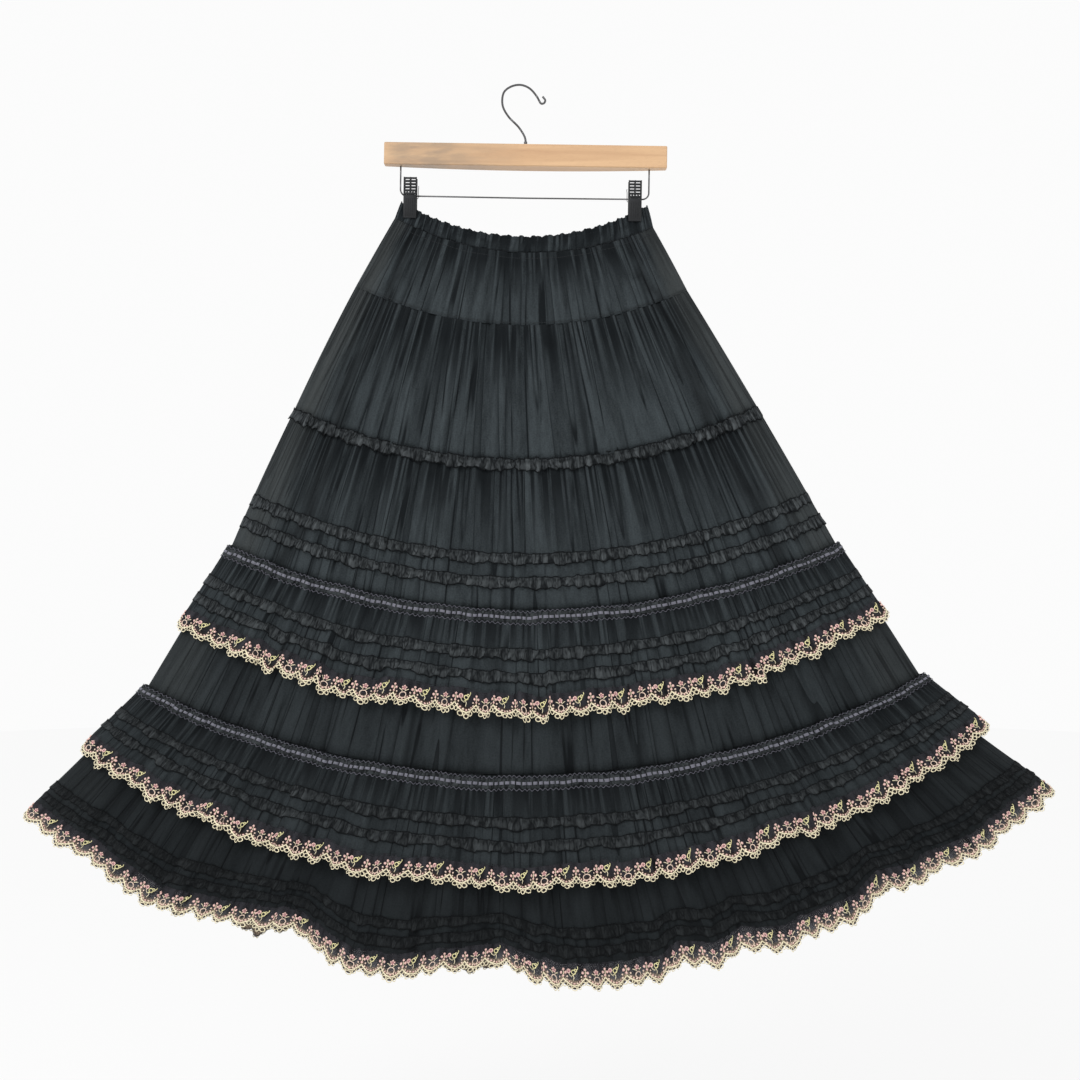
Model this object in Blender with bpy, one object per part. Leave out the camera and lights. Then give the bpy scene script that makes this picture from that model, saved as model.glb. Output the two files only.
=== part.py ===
"""Tiered skirt hanging by its waistband from a wooden clip hanger.

Every seam of the flared skirt is an arc about one point above the waist, so a
place on the cloth is given by its radius from that point and by a share t that
runs from -1 at the left edge to +1 at the right edge. The front and the back
are two walls that meet at the side edges. Sizes are in millimetres and degrees,
and the meshes are made in metres. +Y points to the back, and the origin is the
inside top of the hook, where the hanger is held.
"""

import math
from collections import namedtuple

import bmesh
import bpy
from mathutils import Vector

MM = 0.001

# Cloth
CLOTH_WALL = 1.4
TRIM_WALL = 1.1
SEAM_GAP = 0.3
TRIM_GAP = 0.7
COLUMNS_PER_FOLD = 4
EDGE_SPREAD = 0.45
FOLD_FADE = 4.0
EDGE_TURN = 0.02
FAN_X = -1.2
FAN_Z = 73.2

SCALLOP_DROP = 6.0

# Hanger
HANGER_TILT = 0.85
BAR_LENGTH = 350.0
BAR_HEIGHT = 27.5
BAR_CENTRE = (8.5, -87.6)
BAR_FRONT = -9.0
BAR_END_BACK = 5.0
BAR_MIDDLE_BACK = 19.0
BAR_BEVEL = 1.0
BAR_BACK_STEPS = 10
HOOK_WIRE = 2.6
FRAME_WIRE = 2.2
FRAME_LEFT = -146.2
FRAME_RIGHT = 162.0
FRAME_DROP = 37.0
FRAME_BEND = 8.0
WIRE_SIDES = 2
CLIP_WIDTH = 16.4
CLIP_HEIGHT = 51.0
CLIP_WALL = 2.4
CLIP_CORNER = 4.0
CLIP_ABOVE_ROD = 22.5
CLIP_PLACES = {"left": -133.8, "right": 144.8}
BARREL_RADIUS = 3.9
BARREL_BORE = 1.45
BARREL_WIDTH = 10.0
BARREL_SIDES = 12
WINDOW_WIDTH = 5.4
WINDOW_HEIGHT = 1.4
WINDOW_PITCH = 3.9
WINDOW_COLUMN = 3.6
WINDOW_ROWS = 4
WINDOW_TOP = 2.9

# left, mid and right are the ring's radii at its ends and in the middle. The
# section's half depth falls off towards the edges by the power bend. fold is
# the height of the folds there, and drop the share of the hem's own unevenness.
Ring = namedtuple("Ring", "left mid right angle_left angle_right depth bend fold drop")
RINGS = {
    "waist_top": Ring(261, 261, 274, 33.8, 36.0, 5.0, 0.90, 1.6, 0.0),
    "waist_seam": Ring(282, 281, 300, 32.8, 34.0, 5.0, 0.85, 0.8, 0.0),
    "yoke_seam": Ring(380, 372, 389, 32.0, 32.7, 14.0, 0.70, 0.8, 0.0),
    "frill_seam": Ring(550, 539, 558, 30.3, 32.2, 18.0, 0.60, 0.8, 0.0),
    "ladder_1": Ring(735, 722, 752, 28.9, 31.6, 22.0, 0.55, 0.8, 0.0),
    "ladder_2": Ring(937, 924, 946, 29.3, 31.8, 27.0, 0.50, 0.8, 0.0),
    "under_flounce": Ring(1046, 1040, 1050, 30.7, 33.1, 32.0, 0.50, 6.0, 0.2),
    "hem": Ring(1138, 1144, 1140, 31.9, 34.8, 37.0, 0.50, 9.0, 0.9),
    "hem_edge": Ring(1167, 1176, 1169, 32.2, 35.1, 38.0, 0.50, 9.5, 1.0),
    "upper_top": Ring(735.5, 722.5, 752.5, 29.20, 31.90, 26.0, 0.54, 0.8, 0.0),
    "upper_hem": Ring(829, 823, 838, 29.6, 32.1, 36.0, 0.50, 7.5, 0.0),
    "upper_edge": Ring(858, 856, 867, 29.8, 32.3, 38.0, 0.50, 8.5, 0.0),
    "lower_top": Ring(937.5, 924.5, 946.5, 29.60, 32.15, 31.6, 0.50, 0.8, 0.0),
    "lower_hem": Ring(1022, 1031, 1023, 31.0, 33.7, 46.0, 0.50, 8.5, 0.0),
    "lower_edge": Ring(1052, 1063, 1054, 31.3, 34.0, 48.0, 0.50, 9.5, 0.0),
}

# Panels hang between two rings, through a third one or a middle that is worked
# out. swell is the height of the folds at that middle.
Panel = namedtuple("Panel", "top middle bottom folds swell")
PANELS = {
    "waistband": Panel("waist_top", None, "waist_seam", 8, 0.5),
    "tier_1": Panel("waist_seam", None, "yoke_seam", 6, 3.0),
    "tier_2": Panel("yoke_seam", None, "frill_seam", 7, 5.0),
    "tier_3": Panel("frill_seam", None, "ladder_1", 8, 4.6),
    "tier_4": Panel("ladder_1", None, "ladder_2", 8, 4.2),
    "tier_5": Panel("ladder_2", "under_flounce", "hem", 13, 6.0),
    "flounce_upper": Panel("upper_top", None, "upper_hem", 10, 4.6),
    "flounce_lower": Panel("lower_top", None, "lower_hem", 11, 5.0),
}

# Strips lie on a panel from start to end, as shares of its height. edge is how
# far the free edge stands off, and frills the number of waves of its own.
Strip = namedtuple("Strip", "panel start end edge frills")
STRIPS = {
    "frill_1": Strip("tier_3", 0.005, 0.070, 4.5, 8),
    "frill_2": Strip("tier_3", 0.630, 0.695, 4.0, 8),
    "frill_3": Strip("tier_3", 0.790, 0.855, 4.0, 8),
    "upper_frill_1": Strip("flounce_upper", 0.46, 0.60, 3.6, 0),
    "upper_frill_2": Strip("flounce_upper", 0.74, 0.88, 3.6, 0),
    "lower_frill_1": Strip("flounce_lower", 0.46, 0.59, 3.6, 0),
    "lower_frill_2": Strip("flounce_lower", 0.72, 0.85, 3.6, 0),
    "hem_frill_1": Strip("tier_5", 0.800, 0.862, 3.6, 0),
    "hem_frill_2": Strip("tier_5", 0.900, 0.962, 3.6, 0),
}
LADDERS = {
    "ladder_lace_1": Strip("flounce_upper", 0.01, 0.16, 0.0, 0),
    "ladder_lace_2": Strip("flounce_lower", 0.01, 0.16, 0.0, 0),
}

# Scalloped edgings hang below the panel, from its bottom ring to their own.
EDGINGS = {
    "lace_edging_upper": ("flounce_upper", "upper_edge"),
    "lace_edging_lower": ("flounce_lower", "lower_edge"),
    "lace_edging_hem": ("tier_5", "hem_edge"),
}

# The hem hangs unevenly: how far below its ring each fold reaches, by angle.
HemFold = namedtuple("HemFold", "angle drop")
HEM_FOLDS = (
    HemFold(-32.0, -8), HemFold(-27.0, -9), HemFold(-24.5, 1), HemFold(-22.0, 5),
    HemFold(-19.8, -9), HemFold(-18.4, -4), HemFold(-16.0, -17), HemFold(-13.3, -22),
    HemFold(-12.0, -8), HemFold(-9.5, 13), HemFold(-7.0, 8), HemFold(-4.8, -8),
    HemFold(-1.0, -17), HemFold(2.5, 12), HemFold(8.5, 13), HemFold(9.9, -2),
    HemFold(12.0, 10), HemFold(13.6, -6), HemFold(16.4, 14), HemFold(18.5, 5),
    HemFold(21.0, 4), HemFold(22.8, -12), HemFold(25.2, -3), HemFold(29.0, -3),
    HemFold(33.6, -6),
)

# The hook's wire from the bar upwards, chosen by hand.
HOOK_ROUTE = (
    (8.3, -73.0), (7.2, -63.5), (-0.5, -51.0), (-13.0, -38.0), (-20.3, -24.0),
    (-19.0, -8.5), (-9.5, -0.6), (2.5, 1.3), (13.5, -3.2), (22.0, -12.8),
    (26.8, -21.2), (30.8, -21.4), (32.6, -17.8), (29.4, -13.2),
)

# Colour as red, green and blue, then roughness and metallic value.
FINISHES = {
    "cloth": ((0.030, 0.034, 0.037), 0.85, 0.0),
    "trim": ((0.020, 0.022, 0.025), 0.85, 0.0),
    "ribbon": ((0.080, 0.080, 0.110), 0.60, 0.0),
    "lace": ((0.420, 0.300, 0.220), 0.80, 0.0),
    "wood": ((0.640, 0.410, 0.210), 0.55, 0.0),
    "steel": ((0.120, 0.120, 0.125), 0.35, 1.0),
    "plastic": ((0.012, 0.013, 0.015), 0.45, 0.0),
}

SIDES = {"front": -1, "back": 1}


def clear_scene():
    for obj in list(bpy.data.objects):
        bpy.data.objects.remove(obj, do_unlink=True)


def finish_material(name):
    """A plain material with the finish's colour."""
    colour, roughness, metallic = FINISHES[name]
    material = bpy.data.materials.new(name)
    material.use_nodes = True
    shader = material.node_tree.nodes["Principled BSDF"]
    shader.inputs["Base Color"].default_value = (*colour, 1.0)
    shader.inputs["Roughness"].default_value = roughness
    shader.inputs["Metallic"].default_value = metallic
    return material


def add_object(name, bm, finish, smooth_angle=40.0):
    """Makes an object with its own material from a finished bmesh."""
    mesh = bpy.data.meshes.new(name)
    bm.to_mesh(mesh)
    bm.free()
    mesh.shade_smooth()
    mesh.set_sharp_from_angle(angle=math.radians(smooth_angle))
    mesh.materials.append(finish_material(finish))
    obj = bpy.data.objects.new(name, mesh)
    bpy.context.scene.collection.objects.link(obj)
    return obj


def interpolate(table, value):
    """Straight lines between a table's (place, height) rows, flat past its ends."""
    previous = table[0]
    for row in table:
        if value <= row[0]:
            span = row[0] - previous[0]
            share = (value - previous[0]) / span if span else 0.0
            return previous[1] + (row[1] - previous[1]) * share
        previous = row
    return previous[1]


def blend_rings(first, second, share, fold):
    """The ring between two others, with its own fold height."""
    values = [a + (b - a) * share for a, b in zip(first, second)]
    return Ring(*values)._replace(fold=fold)


class Folds:
    """Uneven folds side by side, each with its own width and height."""

    def __init__(self, count, seed):
        widths = []
        for k in range(count):
            widths.append(1.0 + 0.32 * math.sin(2.4 * k + seed) + 0.18 * math.sin(5.1 * k + 2 * seed))
        total = sum(widths)
        self.starts = [sum(widths[:k]) / total for k in range(count + 1)]
        self.rises = [0.78 + 0.22 * math.sin(1.9 * k + 3 * seed) for k in range(count)]

    def places(self):
        """The shares, from 0 to 1, where the wall has its columns."""
        found = []
        for start, end in zip(self.starts, self.starts[1:]):
            for step in range(COLUMNS_PER_FOLD):
                found.append(start + (end - start) * step / COLUMNS_PER_FOLD)
        return found + [1.0]

    def height(self, place):
        """The height of the cloth there, from 0 in a valley to 1 on a crest."""
        k = 0
        while k < len(self.rises) - 1 and place > self.starts[k + 1]:
            k += 1
        share = (place - self.starts[k]) / (self.starts[k + 1] - self.starts[k])
        return self.rises[k] * (0.5 - 0.5 * math.cos(2 * math.pi * share))


def across(place):
    """t for a share of the width, with the columns closer at the side edges."""
    even = 2 * place - 1
    return (1 - EDGE_SPREAD) * even - EDGE_SPREAD * math.cos(math.pi * place)


def ring_row(ring, folds, side, places):
    """The points and outward normals of one ring of the front or back wall."""
    points = []
    headings = []
    for place in places:
        t = across(place)
        angle = -ring.angle_left + (ring.angle_left + ring.angle_right) * (t + 1) / 2
        radius = (
            ring.mid
            + (ring.right - ring.left) / 2 * t
            + ((ring.left + ring.right) / 2 - ring.mid) * t * t
        )
        radius += ring.drop * interpolate(HEM_FOLDS, -side * angle)
        fade = min(1.0, FOLD_FADE * (1 - abs(t)))
        depth = ring.depth * max(0.0, 1 - t * t) ** ring.bend
        depth += ring.fold * fade * folds.height(place) + SEAM_GAP / 2
        depth += (CLOTH_WALL + SEAM_GAP) * min(1.0, (1 - abs(t)) / EDGE_TURN)
        turn = math.radians(angle)
        points.append(
            Vector((FAN_X + radius * math.sin(turn), side * depth, FAN_Z - radius * math.cos(turn)))
        )
        headings.append(Vector((math.cos(turn), 0.0, math.sin(turn))))
    normals = []
    last = len(points) - 1
    for index, heading in enumerate(headings):
        if index in (0, last):
            normals.append(heading if index else -heading)
            continue
        step = points[index + 1] - points[index - 1]
        along, rise = step.dot(heading), step.y
        normal = heading * (-side * rise) + Vector((0.0, side * along, 0.0))
        normals.append(normal.normalized())
    return points, normals


def panel_rows(name, side):
    """The rows of a panel's outer face: each has its share of the height, points and normals."""
    panel = PANELS[name]
    folds = Folds(panel.folds, seed_of(name, side))
    top = RINGS[panel.top]
    bottom = RINGS[panel.bottom]
    bottom = bottom._replace(
        left=bottom.left - SEAM_GAP, mid=bottom.mid - SEAM_GAP, right=bottom.right - SEAM_GAP
    )
    if panel.middle:
        middle = RINGS[panel.middle]
    else:
        middle = blend_rings(top, bottom, 0.5, panel.swell)
    rows = []
    for share, ring in ((0.0, top), (0.5, middle), (1.0, bottom)):
        points, normals = ring_row(ring, folds, side, folds.places())
        rows.append((share, points, normals))
    return rows


def seed_of(name, side):
    """A number of its own for each panel and side, so that no two fold alike."""
    return 0.7 + 1.3 * list(PANELS).index(name) + (2.1 if side > 0 else 0.0)


def row_on_panel(rows, share, lifts):
    """Points that far off a panel's outer face at one share of its height."""
    upper = max(row for row in rows[:-1] if row[0] <= share)
    lower = rows[rows.index(upper) + 1]
    mix = (share - upper[0]) / (lower[0] - upper[0])
    found = []
    for index, lift in enumerate(lifts):
        point = upper[1][index].lerp(lower[1][index], mix)
        normal = upper[2][index].lerp(lower[2][index], mix).normalized()
        found.append(point + normal * lift)
    return found


def wall_between(outer, inner, side):
    """A closed wall. The inner rows are one fewer where the lower edge is sharp."""
    bm = bmesh.new()
    outside = [[bm.verts.new(point * MM) for point in row] for row in outer]
    inside = [[bm.verts.new(point * MM) for point in row] for row in inner]
    sharp = len(inside) < len(outside)
    if sharp:
        inside.append(outside[-1])

    def quad(a, b, c, d):
        corners = (a, b, c, d) if side < 0 else (d, c, b, a)
        bm.faces.new((corners[0], corners[1], corners[2]))
        bm.faces.new((corners[0], corners[2], corners[3]))

    columns = len(outer[0]) - 1
    for j in range(len(outside) - 1):
        for i in range(columns):
            quad(outside[j][i], outside[j + 1][i], outside[j + 1][i + 1], outside[j][i + 1])
            if side < 0:
                bm.faces.new((inside[j][i], inside[j + 1][i + 1], inside[j + 1][i]))
                bm.faces.new((inside[j][i], inside[j][i + 1], inside[j + 1][i + 1]))
            else:
                bm.faces.new((inside[j][i + 1], inside[j + 1][i], inside[j + 1][i + 1]))
                bm.faces.new((inside[j][i + 1], inside[j][i], inside[j + 1][i]))
    for i in range(columns):
        quad(inside[0][i], outside[0][i], outside[0][i + 1], inside[0][i + 1])
        if not sharp:
            quad(outside[-1][i], inside[-1][i], inside[-1][i + 1], outside[-1][i + 1])
    for j in range(len(outside) - 1):
        for i, flip in ((0, False), (columns, True)):
            ring = [outside[j][i], inside[j][i], inside[j + 1][i], outside[j + 1][i]]
            corners = [v for k, v in enumerate(ring) if v not in ring[:k]]
            bm.faces.new(corners if flip == (side > 0) else corners[::-1])
    return bm


def moved_in(points, normals, distance):
    return [point - normal * distance for point, normal in zip(points, normals)]


def make_panel(name, word, side):
    rows = panel_rows(name, side)
    outer = [points for _, points, _ in rows]
    inner = [moved_in(points, normals, CLOTH_WALL) for _, points, normals in rows]
    return add_object(f"{name}_{word}", wall_between(outer, inner, side), "cloth")


def make_frill(name, word, side):
    """A gathered strip sewn on along its top, with a thin lower edge that stands off."""
    strip = STRIPS[name]
    rows = panel_rows(strip.panel, side)
    count = len(rows[0][1])
    low = [TRIM_GAP] * count
    high = [TRIM_GAP + TRIM_WALL] * count
    edge = [strip.edge] * count
    if strip.frills:
        step = 2 * math.pi * strip.frills / (count - 1)
        edge = [strip.edge + 1.8 * math.sin(step * i + 1.0) for i in range(count)]
    outer = [row_on_panel(rows, strip.start, high), row_on_panel(rows, strip.end, edge)]
    inner = [row_on_panel(rows, strip.start, low)]
    return add_object(f"{name}_{word}", wall_between(outer, inner, side), "trim")


def make_ladder(name, word, side):
    """A flat band of ribbon lace over a flounce's seam."""
    strip = LADDERS[name]
    rows = panel_rows(strip.panel, side)
    count = len(rows[0][1])
    low = [TRIM_GAP] * count
    high = [TRIM_GAP + TRIM_WALL] * count
    outer = [row_on_panel(rows, share, high) for share in (strip.start, strip.end)]
    inner = [row_on_panel(rows, share, low) for share in (strip.start, strip.end)]
    return add_object(f"{name}_{word}", wall_between(outer, inner, side), "ribbon")


def halved(row):
    """A row with a point added midway between each two."""
    found = [row[0]]
    for first, second in zip(row, row[1:]):
        found += [first.lerp(second, 0.5), second]
    return found


def away_from_fan(point, distance):
    """The point moved down the cloth, away from the point that the seams turn about."""
    outwards = Vector((point.x - FAN_X, 0.0, point.z - FAN_Z)).normalized()
    return point + outwards * distance


def make_edging(name, word, side):
    """An edging with a scallop on each column of the panel above it, whose folds it follows."""
    panel_name, edge_name = EDGINGS[name]
    panel = PANELS[panel_name]
    folds = Folds(panel.folds, seed_of(panel_name, side))
    upper, normals = ring_row(RINGS[panel.bottom], folds, side, folds.places())
    lower, _ = ring_row(RINGS[edge_name], folds, side, folds.places())
    edge = halved([away_from_fan(point, -SCALLOP_DROP) for point in lower])
    edge = [away_from_fan(p, SCALLOP_DROP) if i % 2 else p for i, p in enumerate(edge)]
    inner = [halved(moved_in(upper, normals, TRIM_WALL))]
    return add_object(f"{name}_{word}", wall_between([halved(upper), edge], inner, side), "lace")


def hanger_frame():
    """The empty that tilts the hanger, at the middle of the bar's top face."""
    empty = bpy.data.objects.new("hanger", None)
    bpy.context.scene.collection.objects.link(empty)
    x, z = BAR_CENTRE
    empty.location = (x * MM, 0.0, (z + BAR_HEIGHT / 2) * MM)
    empty.rotation_euler = (0.0, math.radians(HANGER_TILT), 0.0)
    return empty


def make_bar(parent):
    """A bar with a flat front and a back that bows out in the middle."""
    bm = bmesh.new()
    half = BAR_LENGTH / 2
    outline = [(-half, BAR_FRONT), (half, BAR_FRONT)]
    for step in range(BAR_BACK_STEPS + 1):
        share = 1 - 2 * step / BAR_BACK_STEPS
        bow = (BAR_MIDDLE_BACK - BAR_END_BACK) * (1 - share * share)
        outline.append((share * half, BAR_END_BACK + bow))
    corners = [bm.verts.new((x * MM, y * MM, -BAR_HEIGHT * MM)) for x, y in outline]
    base = bm.faces.new(corners)
    raised = bmesh.ops.extrude_face_region(bm, geom=[base])["geom"]
    top = [item for item in raised if isinstance(item, bmesh.types.BMVert)]
    bmesh.ops.translate(bm, verts=top, vec=(0, 0, BAR_HEIGHT * MM))
    bmesh.ops.recalc_face_normals(bm, faces=bm.faces)
    corner_edges = [e for e in bm.edges if e.calc_face_angle(0) > math.radians(30)]
    bmesh.ops.bevel(
        bm, geom=corner_edges, offset=BAR_BEVEL * MM, affect="EDGES", segments=1,
        profile=0.5, material=-1,
    )
    obj = add_object("wood_bar", bm, "wood")
    obj.parent = parent
    return obj


def smooth_route(route, steps):
    """Points on a smooth curve through the route's own points."""
    padded = [route[0], *route, route[-1]]
    found = []
    for a, b, c, d in zip(padded, padded[1:], padded[2:], padded[3:]):
        for step in range(steps):
            s = step / steps
            found.append(tuple(
                0.5 * (2 * q + (r - p) * s + (2 * p - 5 * q + 4 * r - w) * s * s
                       + (3 * q - p - 3 * r + w) * s ** 3)
                for p, q, r, w in zip(a, b, c, d)
            ))
    return found + [route[-1]]


def make_wire(name, route, diameter):
    """A round wire through points given as (x, z)."""
    curve = bpy.data.curves.new(name, "CURVE")
    curve.dimensions = "3D"
    curve.bevel_depth = diameter / 2 * MM
    curve.bevel_resolution = WIRE_SIDES
    curve.use_fill_caps = True
    spline = curve.splines.new("POLY")
    spline.points.add(len(route) - 1)
    for point, (x, z) in zip(spline.points, route):
        point.co = (x * MM, 0.0, z * MM, 1.0)
    curve.materials.append(finish_material("steel"))
    obj = bpy.data.objects.new(name, curve)
    bpy.context.scene.collection.objects.link(obj)
    return obj


def make_hook():
    """The swivel hook's wire, ending in a small eye."""
    return make_wire("hook", smooth_route(HOOK_ROUTE, 2), HOOK_WIRE)


def make_clip_wire(parent):
    """The bent wire below the bar that the clips slide on."""
    left = FRAME_LEFT - BAR_CENTRE[0]
    right = FRAME_RIGHT - BAR_CENTRE[0]
    top = -BAR_HEIGHT - SEAM_GAP
    low = top - FRAME_DROP
    route = [(left, top)]
    for centre, start in ((left + FRAME_BEND, 180), (right - FRAME_BEND, 270)):
        for step in range(5):
            turn = math.radians(start + 90 * step / 4)
            route.append((
                centre + FRAME_BEND * math.cos(turn),
                low + FRAME_BEND + FRAME_BEND * math.sin(turn),
            ))
    route.append((right, top))
    obj = make_wire("clip_wire", route, FRAME_WIRE)
    obj.parent = parent
    return obj


def window_cutter(name, parent, place):
    """Two columns of slots, to be cut through a jaw."""
    bm = bmesh.new()
    for column in (-WINDOW_COLUMN, WINDOW_COLUMN):
        for row in range(WINDOW_ROWS):
            height = CLIP_ABOVE_ROD - WINDOW_TOP - row * WINDOW_PITCH
            made = bmesh.ops.create_cube(bm, size=MM)
            bmesh.ops.scale(bm, verts=made["verts"], vec=(WINDOW_WIDTH, 4 * CLIP_WALL, WINDOW_HEIGHT))
            bmesh.ops.translate(bm, verts=made["verts"], vec=(column * MM, 0, height * MM))
    obj = add_object(name, bm, "plastic")
    obj.parent = parent
    obj.location = place
    obj.hide_render = True
    obj.display_type = "WIRE"
    return obj


def make_jaw(name, parent, place):
    """A flat jaw with rounded lower corners and a window grid above the rod."""
    bm = bmesh.new()
    half = CLIP_WIDTH / 2
    top = CLIP_ABOVE_ROD
    low = top - CLIP_HEIGHT
    outline = [(half, top), (-half, top)]
    for centre, start in ((-half + CLIP_CORNER, 180), (half - CLIP_CORNER, 270)):
        for step in range(4):
            turn = math.radians(start + 30 * step)
            outline.append((
                centre + CLIP_CORNER * math.cos(turn),
                low + CLIP_CORNER + CLIP_CORNER * math.sin(turn),
            ))
    corners = [bm.verts.new((x * MM, -CLIP_WALL / 2 * MM, z * MM)) for x, z in outline]
    face = bm.faces.new(corners)
    moved = bmesh.ops.extrude_face_region(bm, geom=[face])["geom"]
    back = [item for item in moved if isinstance(item, bmesh.types.BMVert)]
    bmesh.ops.translate(bm, verts=back, vec=(0, CLIP_WALL * MM, 0))
    bmesh.ops.recalc_face_normals(bm, faces=bm.faces)
    obj = add_object(name, bm, "plastic")
    obj.parent = parent
    obj.location = place
    windows = obj.modifiers.new("windows", "BOOLEAN")
    windows.operation = "DIFFERENCE"
    windows.object = window_cutter(f"{name}_windows", parent, place)
    return obj


def make_barrel(name, parent, place):
    """The sleeve between the jaws that turns on the wire."""
    bm = bmesh.new()
    rims = []
    for x in (-BARREL_WIDTH / 2, BARREL_WIDTH / 2):
        for radius in (BARREL_RADIUS, BARREL_BORE):
            rim = []
            for step in range(BARREL_SIDES):
                turn = 2 * math.pi * step / BARREL_SIDES
                rim.append(bm.verts.new((
                    x * MM, radius * MM * math.cos(turn), radius * MM * math.sin(turn)
                )))
            rims.append(rim)
    for first, second in ((0, 2), (3, 1), (1, 0), (2, 3)):
        for i in range(BARREL_SIDES):
            k = (i + 1) % BARREL_SIDES
            bm.faces.new((rims[first][i], rims[second][i], rims[second][k], rims[first][k]))
    bmesh.ops.recalc_face_normals(bm, faces=bm.faces)
    obj = add_object(name, bm, "steel")
    obj.parent = parent
    obj.location = place
    return obj


def make_clips(parent):
    """A clip near each end of the wire, closed on the waistband."""
    rod = -BAR_HEIGHT - SEAM_GAP - FRAME_DROP
    stand_off = BARREL_RADIUS + SEAM_GAP + CLIP_WALL / 2
    for word, x in CLIP_PLACES.items():
        across_bar = x - BAR_CENTRE[0]
        place = Vector((across_bar, 0.0, rod)) * MM
        make_barrel(f"clip_{word}_barrel", parent, place)
        for face, side in SIDES.items():
            offset = Vector((0.0, side * stand_off, 0.0)) * MM
            make_jaw(f"clip_{word}_{face}_jaw", parent, place + offset)


def main():
    clear_scene()
    for word, side in SIDES.items():
        for name in PANELS:
            make_panel(name, word, side)
        for name in STRIPS:
            make_frill(name, word, side)
        for name in LADDERS:
            make_ladder(name, word, side)
        for name in EDGINGS:
            make_edging(name, word, side)
    hanger = hanger_frame()
    make_bar(hanger)
    make_hook()
    make_clip_wire(hanger)
    make_clips(hanger)
    bpy.context.view_layer.update()


main()
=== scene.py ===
"""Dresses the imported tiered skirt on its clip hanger: sewn cloth, frills, lace and finishes.

Every seam of the flared skirt is an arc about one point above the waist. A place on a panel
is given by its turn, which is 0 to 1 across the front from the left edge and 1 to 2 back
across the back, and by its share, from 0 at the panel's top to 1 at its bottom. The tables
are in millimetres and degrees, as in the part's own source, and the meshes in metres.
"""

from __future__ import annotations

import logging
import math
from collections.abc import Callable
from dataclasses import dataclass, field
from enum import Enum

import bmesh
import bpy
import mathutils
import numpy as np
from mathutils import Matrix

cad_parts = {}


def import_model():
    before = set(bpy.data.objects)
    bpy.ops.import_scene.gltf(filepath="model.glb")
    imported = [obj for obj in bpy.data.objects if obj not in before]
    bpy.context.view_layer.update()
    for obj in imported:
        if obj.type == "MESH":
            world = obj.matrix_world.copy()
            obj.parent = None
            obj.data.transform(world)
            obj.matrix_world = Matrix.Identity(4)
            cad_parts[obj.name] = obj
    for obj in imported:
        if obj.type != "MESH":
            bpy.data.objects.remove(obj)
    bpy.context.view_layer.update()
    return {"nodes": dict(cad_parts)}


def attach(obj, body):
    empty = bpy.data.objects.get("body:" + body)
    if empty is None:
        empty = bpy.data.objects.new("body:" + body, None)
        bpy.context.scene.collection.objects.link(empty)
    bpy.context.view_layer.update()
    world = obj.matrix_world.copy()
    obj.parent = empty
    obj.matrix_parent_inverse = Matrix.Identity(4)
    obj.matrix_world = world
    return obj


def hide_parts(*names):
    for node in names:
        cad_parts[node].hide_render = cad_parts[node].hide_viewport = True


LOG = logging.getLogger("skirt")
MM = 0.001
BODY = "root"
Array = np.ndarray
Placer = Callable[[Array, Array], Array]

FAN_X, FAN_Z = -1.2, 73.2
CLOTH_WALL, SEAM_GAP = 1.4, 0.3
EDGE_SPREAD, FOLD_FADE, EDGE_TURN = 0.45, 4.0, 0.02
BACK_SEED, NEXT_SEED = 2.1, 0.9
LACE_PITCH = 25.5
BAR_X, BAR_Z, BAR_HEIGHT = 8.5, -87.6, 27.5
WIRE_TOP, WIRE_DROP = -27.8, 37.0


class Slot(Enum):
    """The record's material slots."""

    CLOTH = "cloth"
    TRIM = "trim"
    RIBBON = "ribbon"
    LACE = "lace"
    STEEL = "steel"
    PLASTIC = "plastic"


class Hold(Enum):
    """How a sheet of cloth is held."""

    GATHERED = "gathered"
    HUNG = "hung"


@dataclass(frozen=True)
class Ring:
    """A level ring of the skirt: its radii and angles at the edges, and its depth and folds."""

    left: float
    mid: float
    right: float
    angle_left: float
    angle_right: float
    depth: float
    bend: float
    fold: float
    drop: float = 0.0

    def values(self) -> Array:
        """The ring as a row of numbers, for mixing with another."""
        return np.array([
            self.left, self.mid, self.right, self.angle_left, self.angle_right,
            self.depth, self.bend, self.fold, self.drop,
        ])


@dataclass(frozen=True)
class Gathers:
    """Small uneven folds on top of a panel's own.

    count is the number across the front, depth their height in mm, and top and bottom how much
    of it is left at those seams. run is the share of the panel's height over which folds that
    start at the top seam die out, or 0 where they run all the way down.
    """

    count: int
    depth: float
    top: float = 0.7
    bottom: float = 0.7
    run: float = 0.0
    wander: float = 0.6


@dataclass(frozen=True)
class Panel:
    """A panel between two rings, through a third or a middle that is worked out."""

    top: Ring
    bottom: Ring
    folds: int
    swell: float
    gathers: tuple[Gathers, ...]
    columns: int
    rows: int
    middle: Ring | None = None


WAIST_TOP = Ring(261, 261, 274, 33.8, 36.0, 5.0, 0.90, 1.6)
WAIST_SEAM = Ring(282, 281, 300, 32.8, 34.0, 5.0, 0.85, 0.8)
YOKE_SEAM = Ring(380, 372, 389, 32.0, 32.7, 14.0, 0.70, 0.8)
FRILL_SEAM = Ring(550, 539, 558, 30.3, 32.2, 18.0, 0.60, 0.8)
LADDER_1 = Ring(735, 722, 752, 28.9, 31.6, 22.0, 0.55, 0.8)
LADDER_2 = Ring(937, 924, 946, 29.3, 31.8, 27.0, 0.50, 0.8)
UNDER_FLOUNCE = Ring(1046, 1040, 1050, 30.7, 33.1, 32.0, 0.50, 6.0, 0.2)
HEM = Ring(1138, 1144, 1140, 31.9, 34.8, 37.0, 0.50, 9.0, 0.9)
HEM_EDGE = Ring(1167, 1176, 1169, 32.2, 35.1, 38.0, 0.50, 9.5, 1.0)
UPPER_TOP = Ring(735.5, 722.5, 752.5, 29.20, 31.90, 26.0, 0.54, 0.8)
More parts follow.
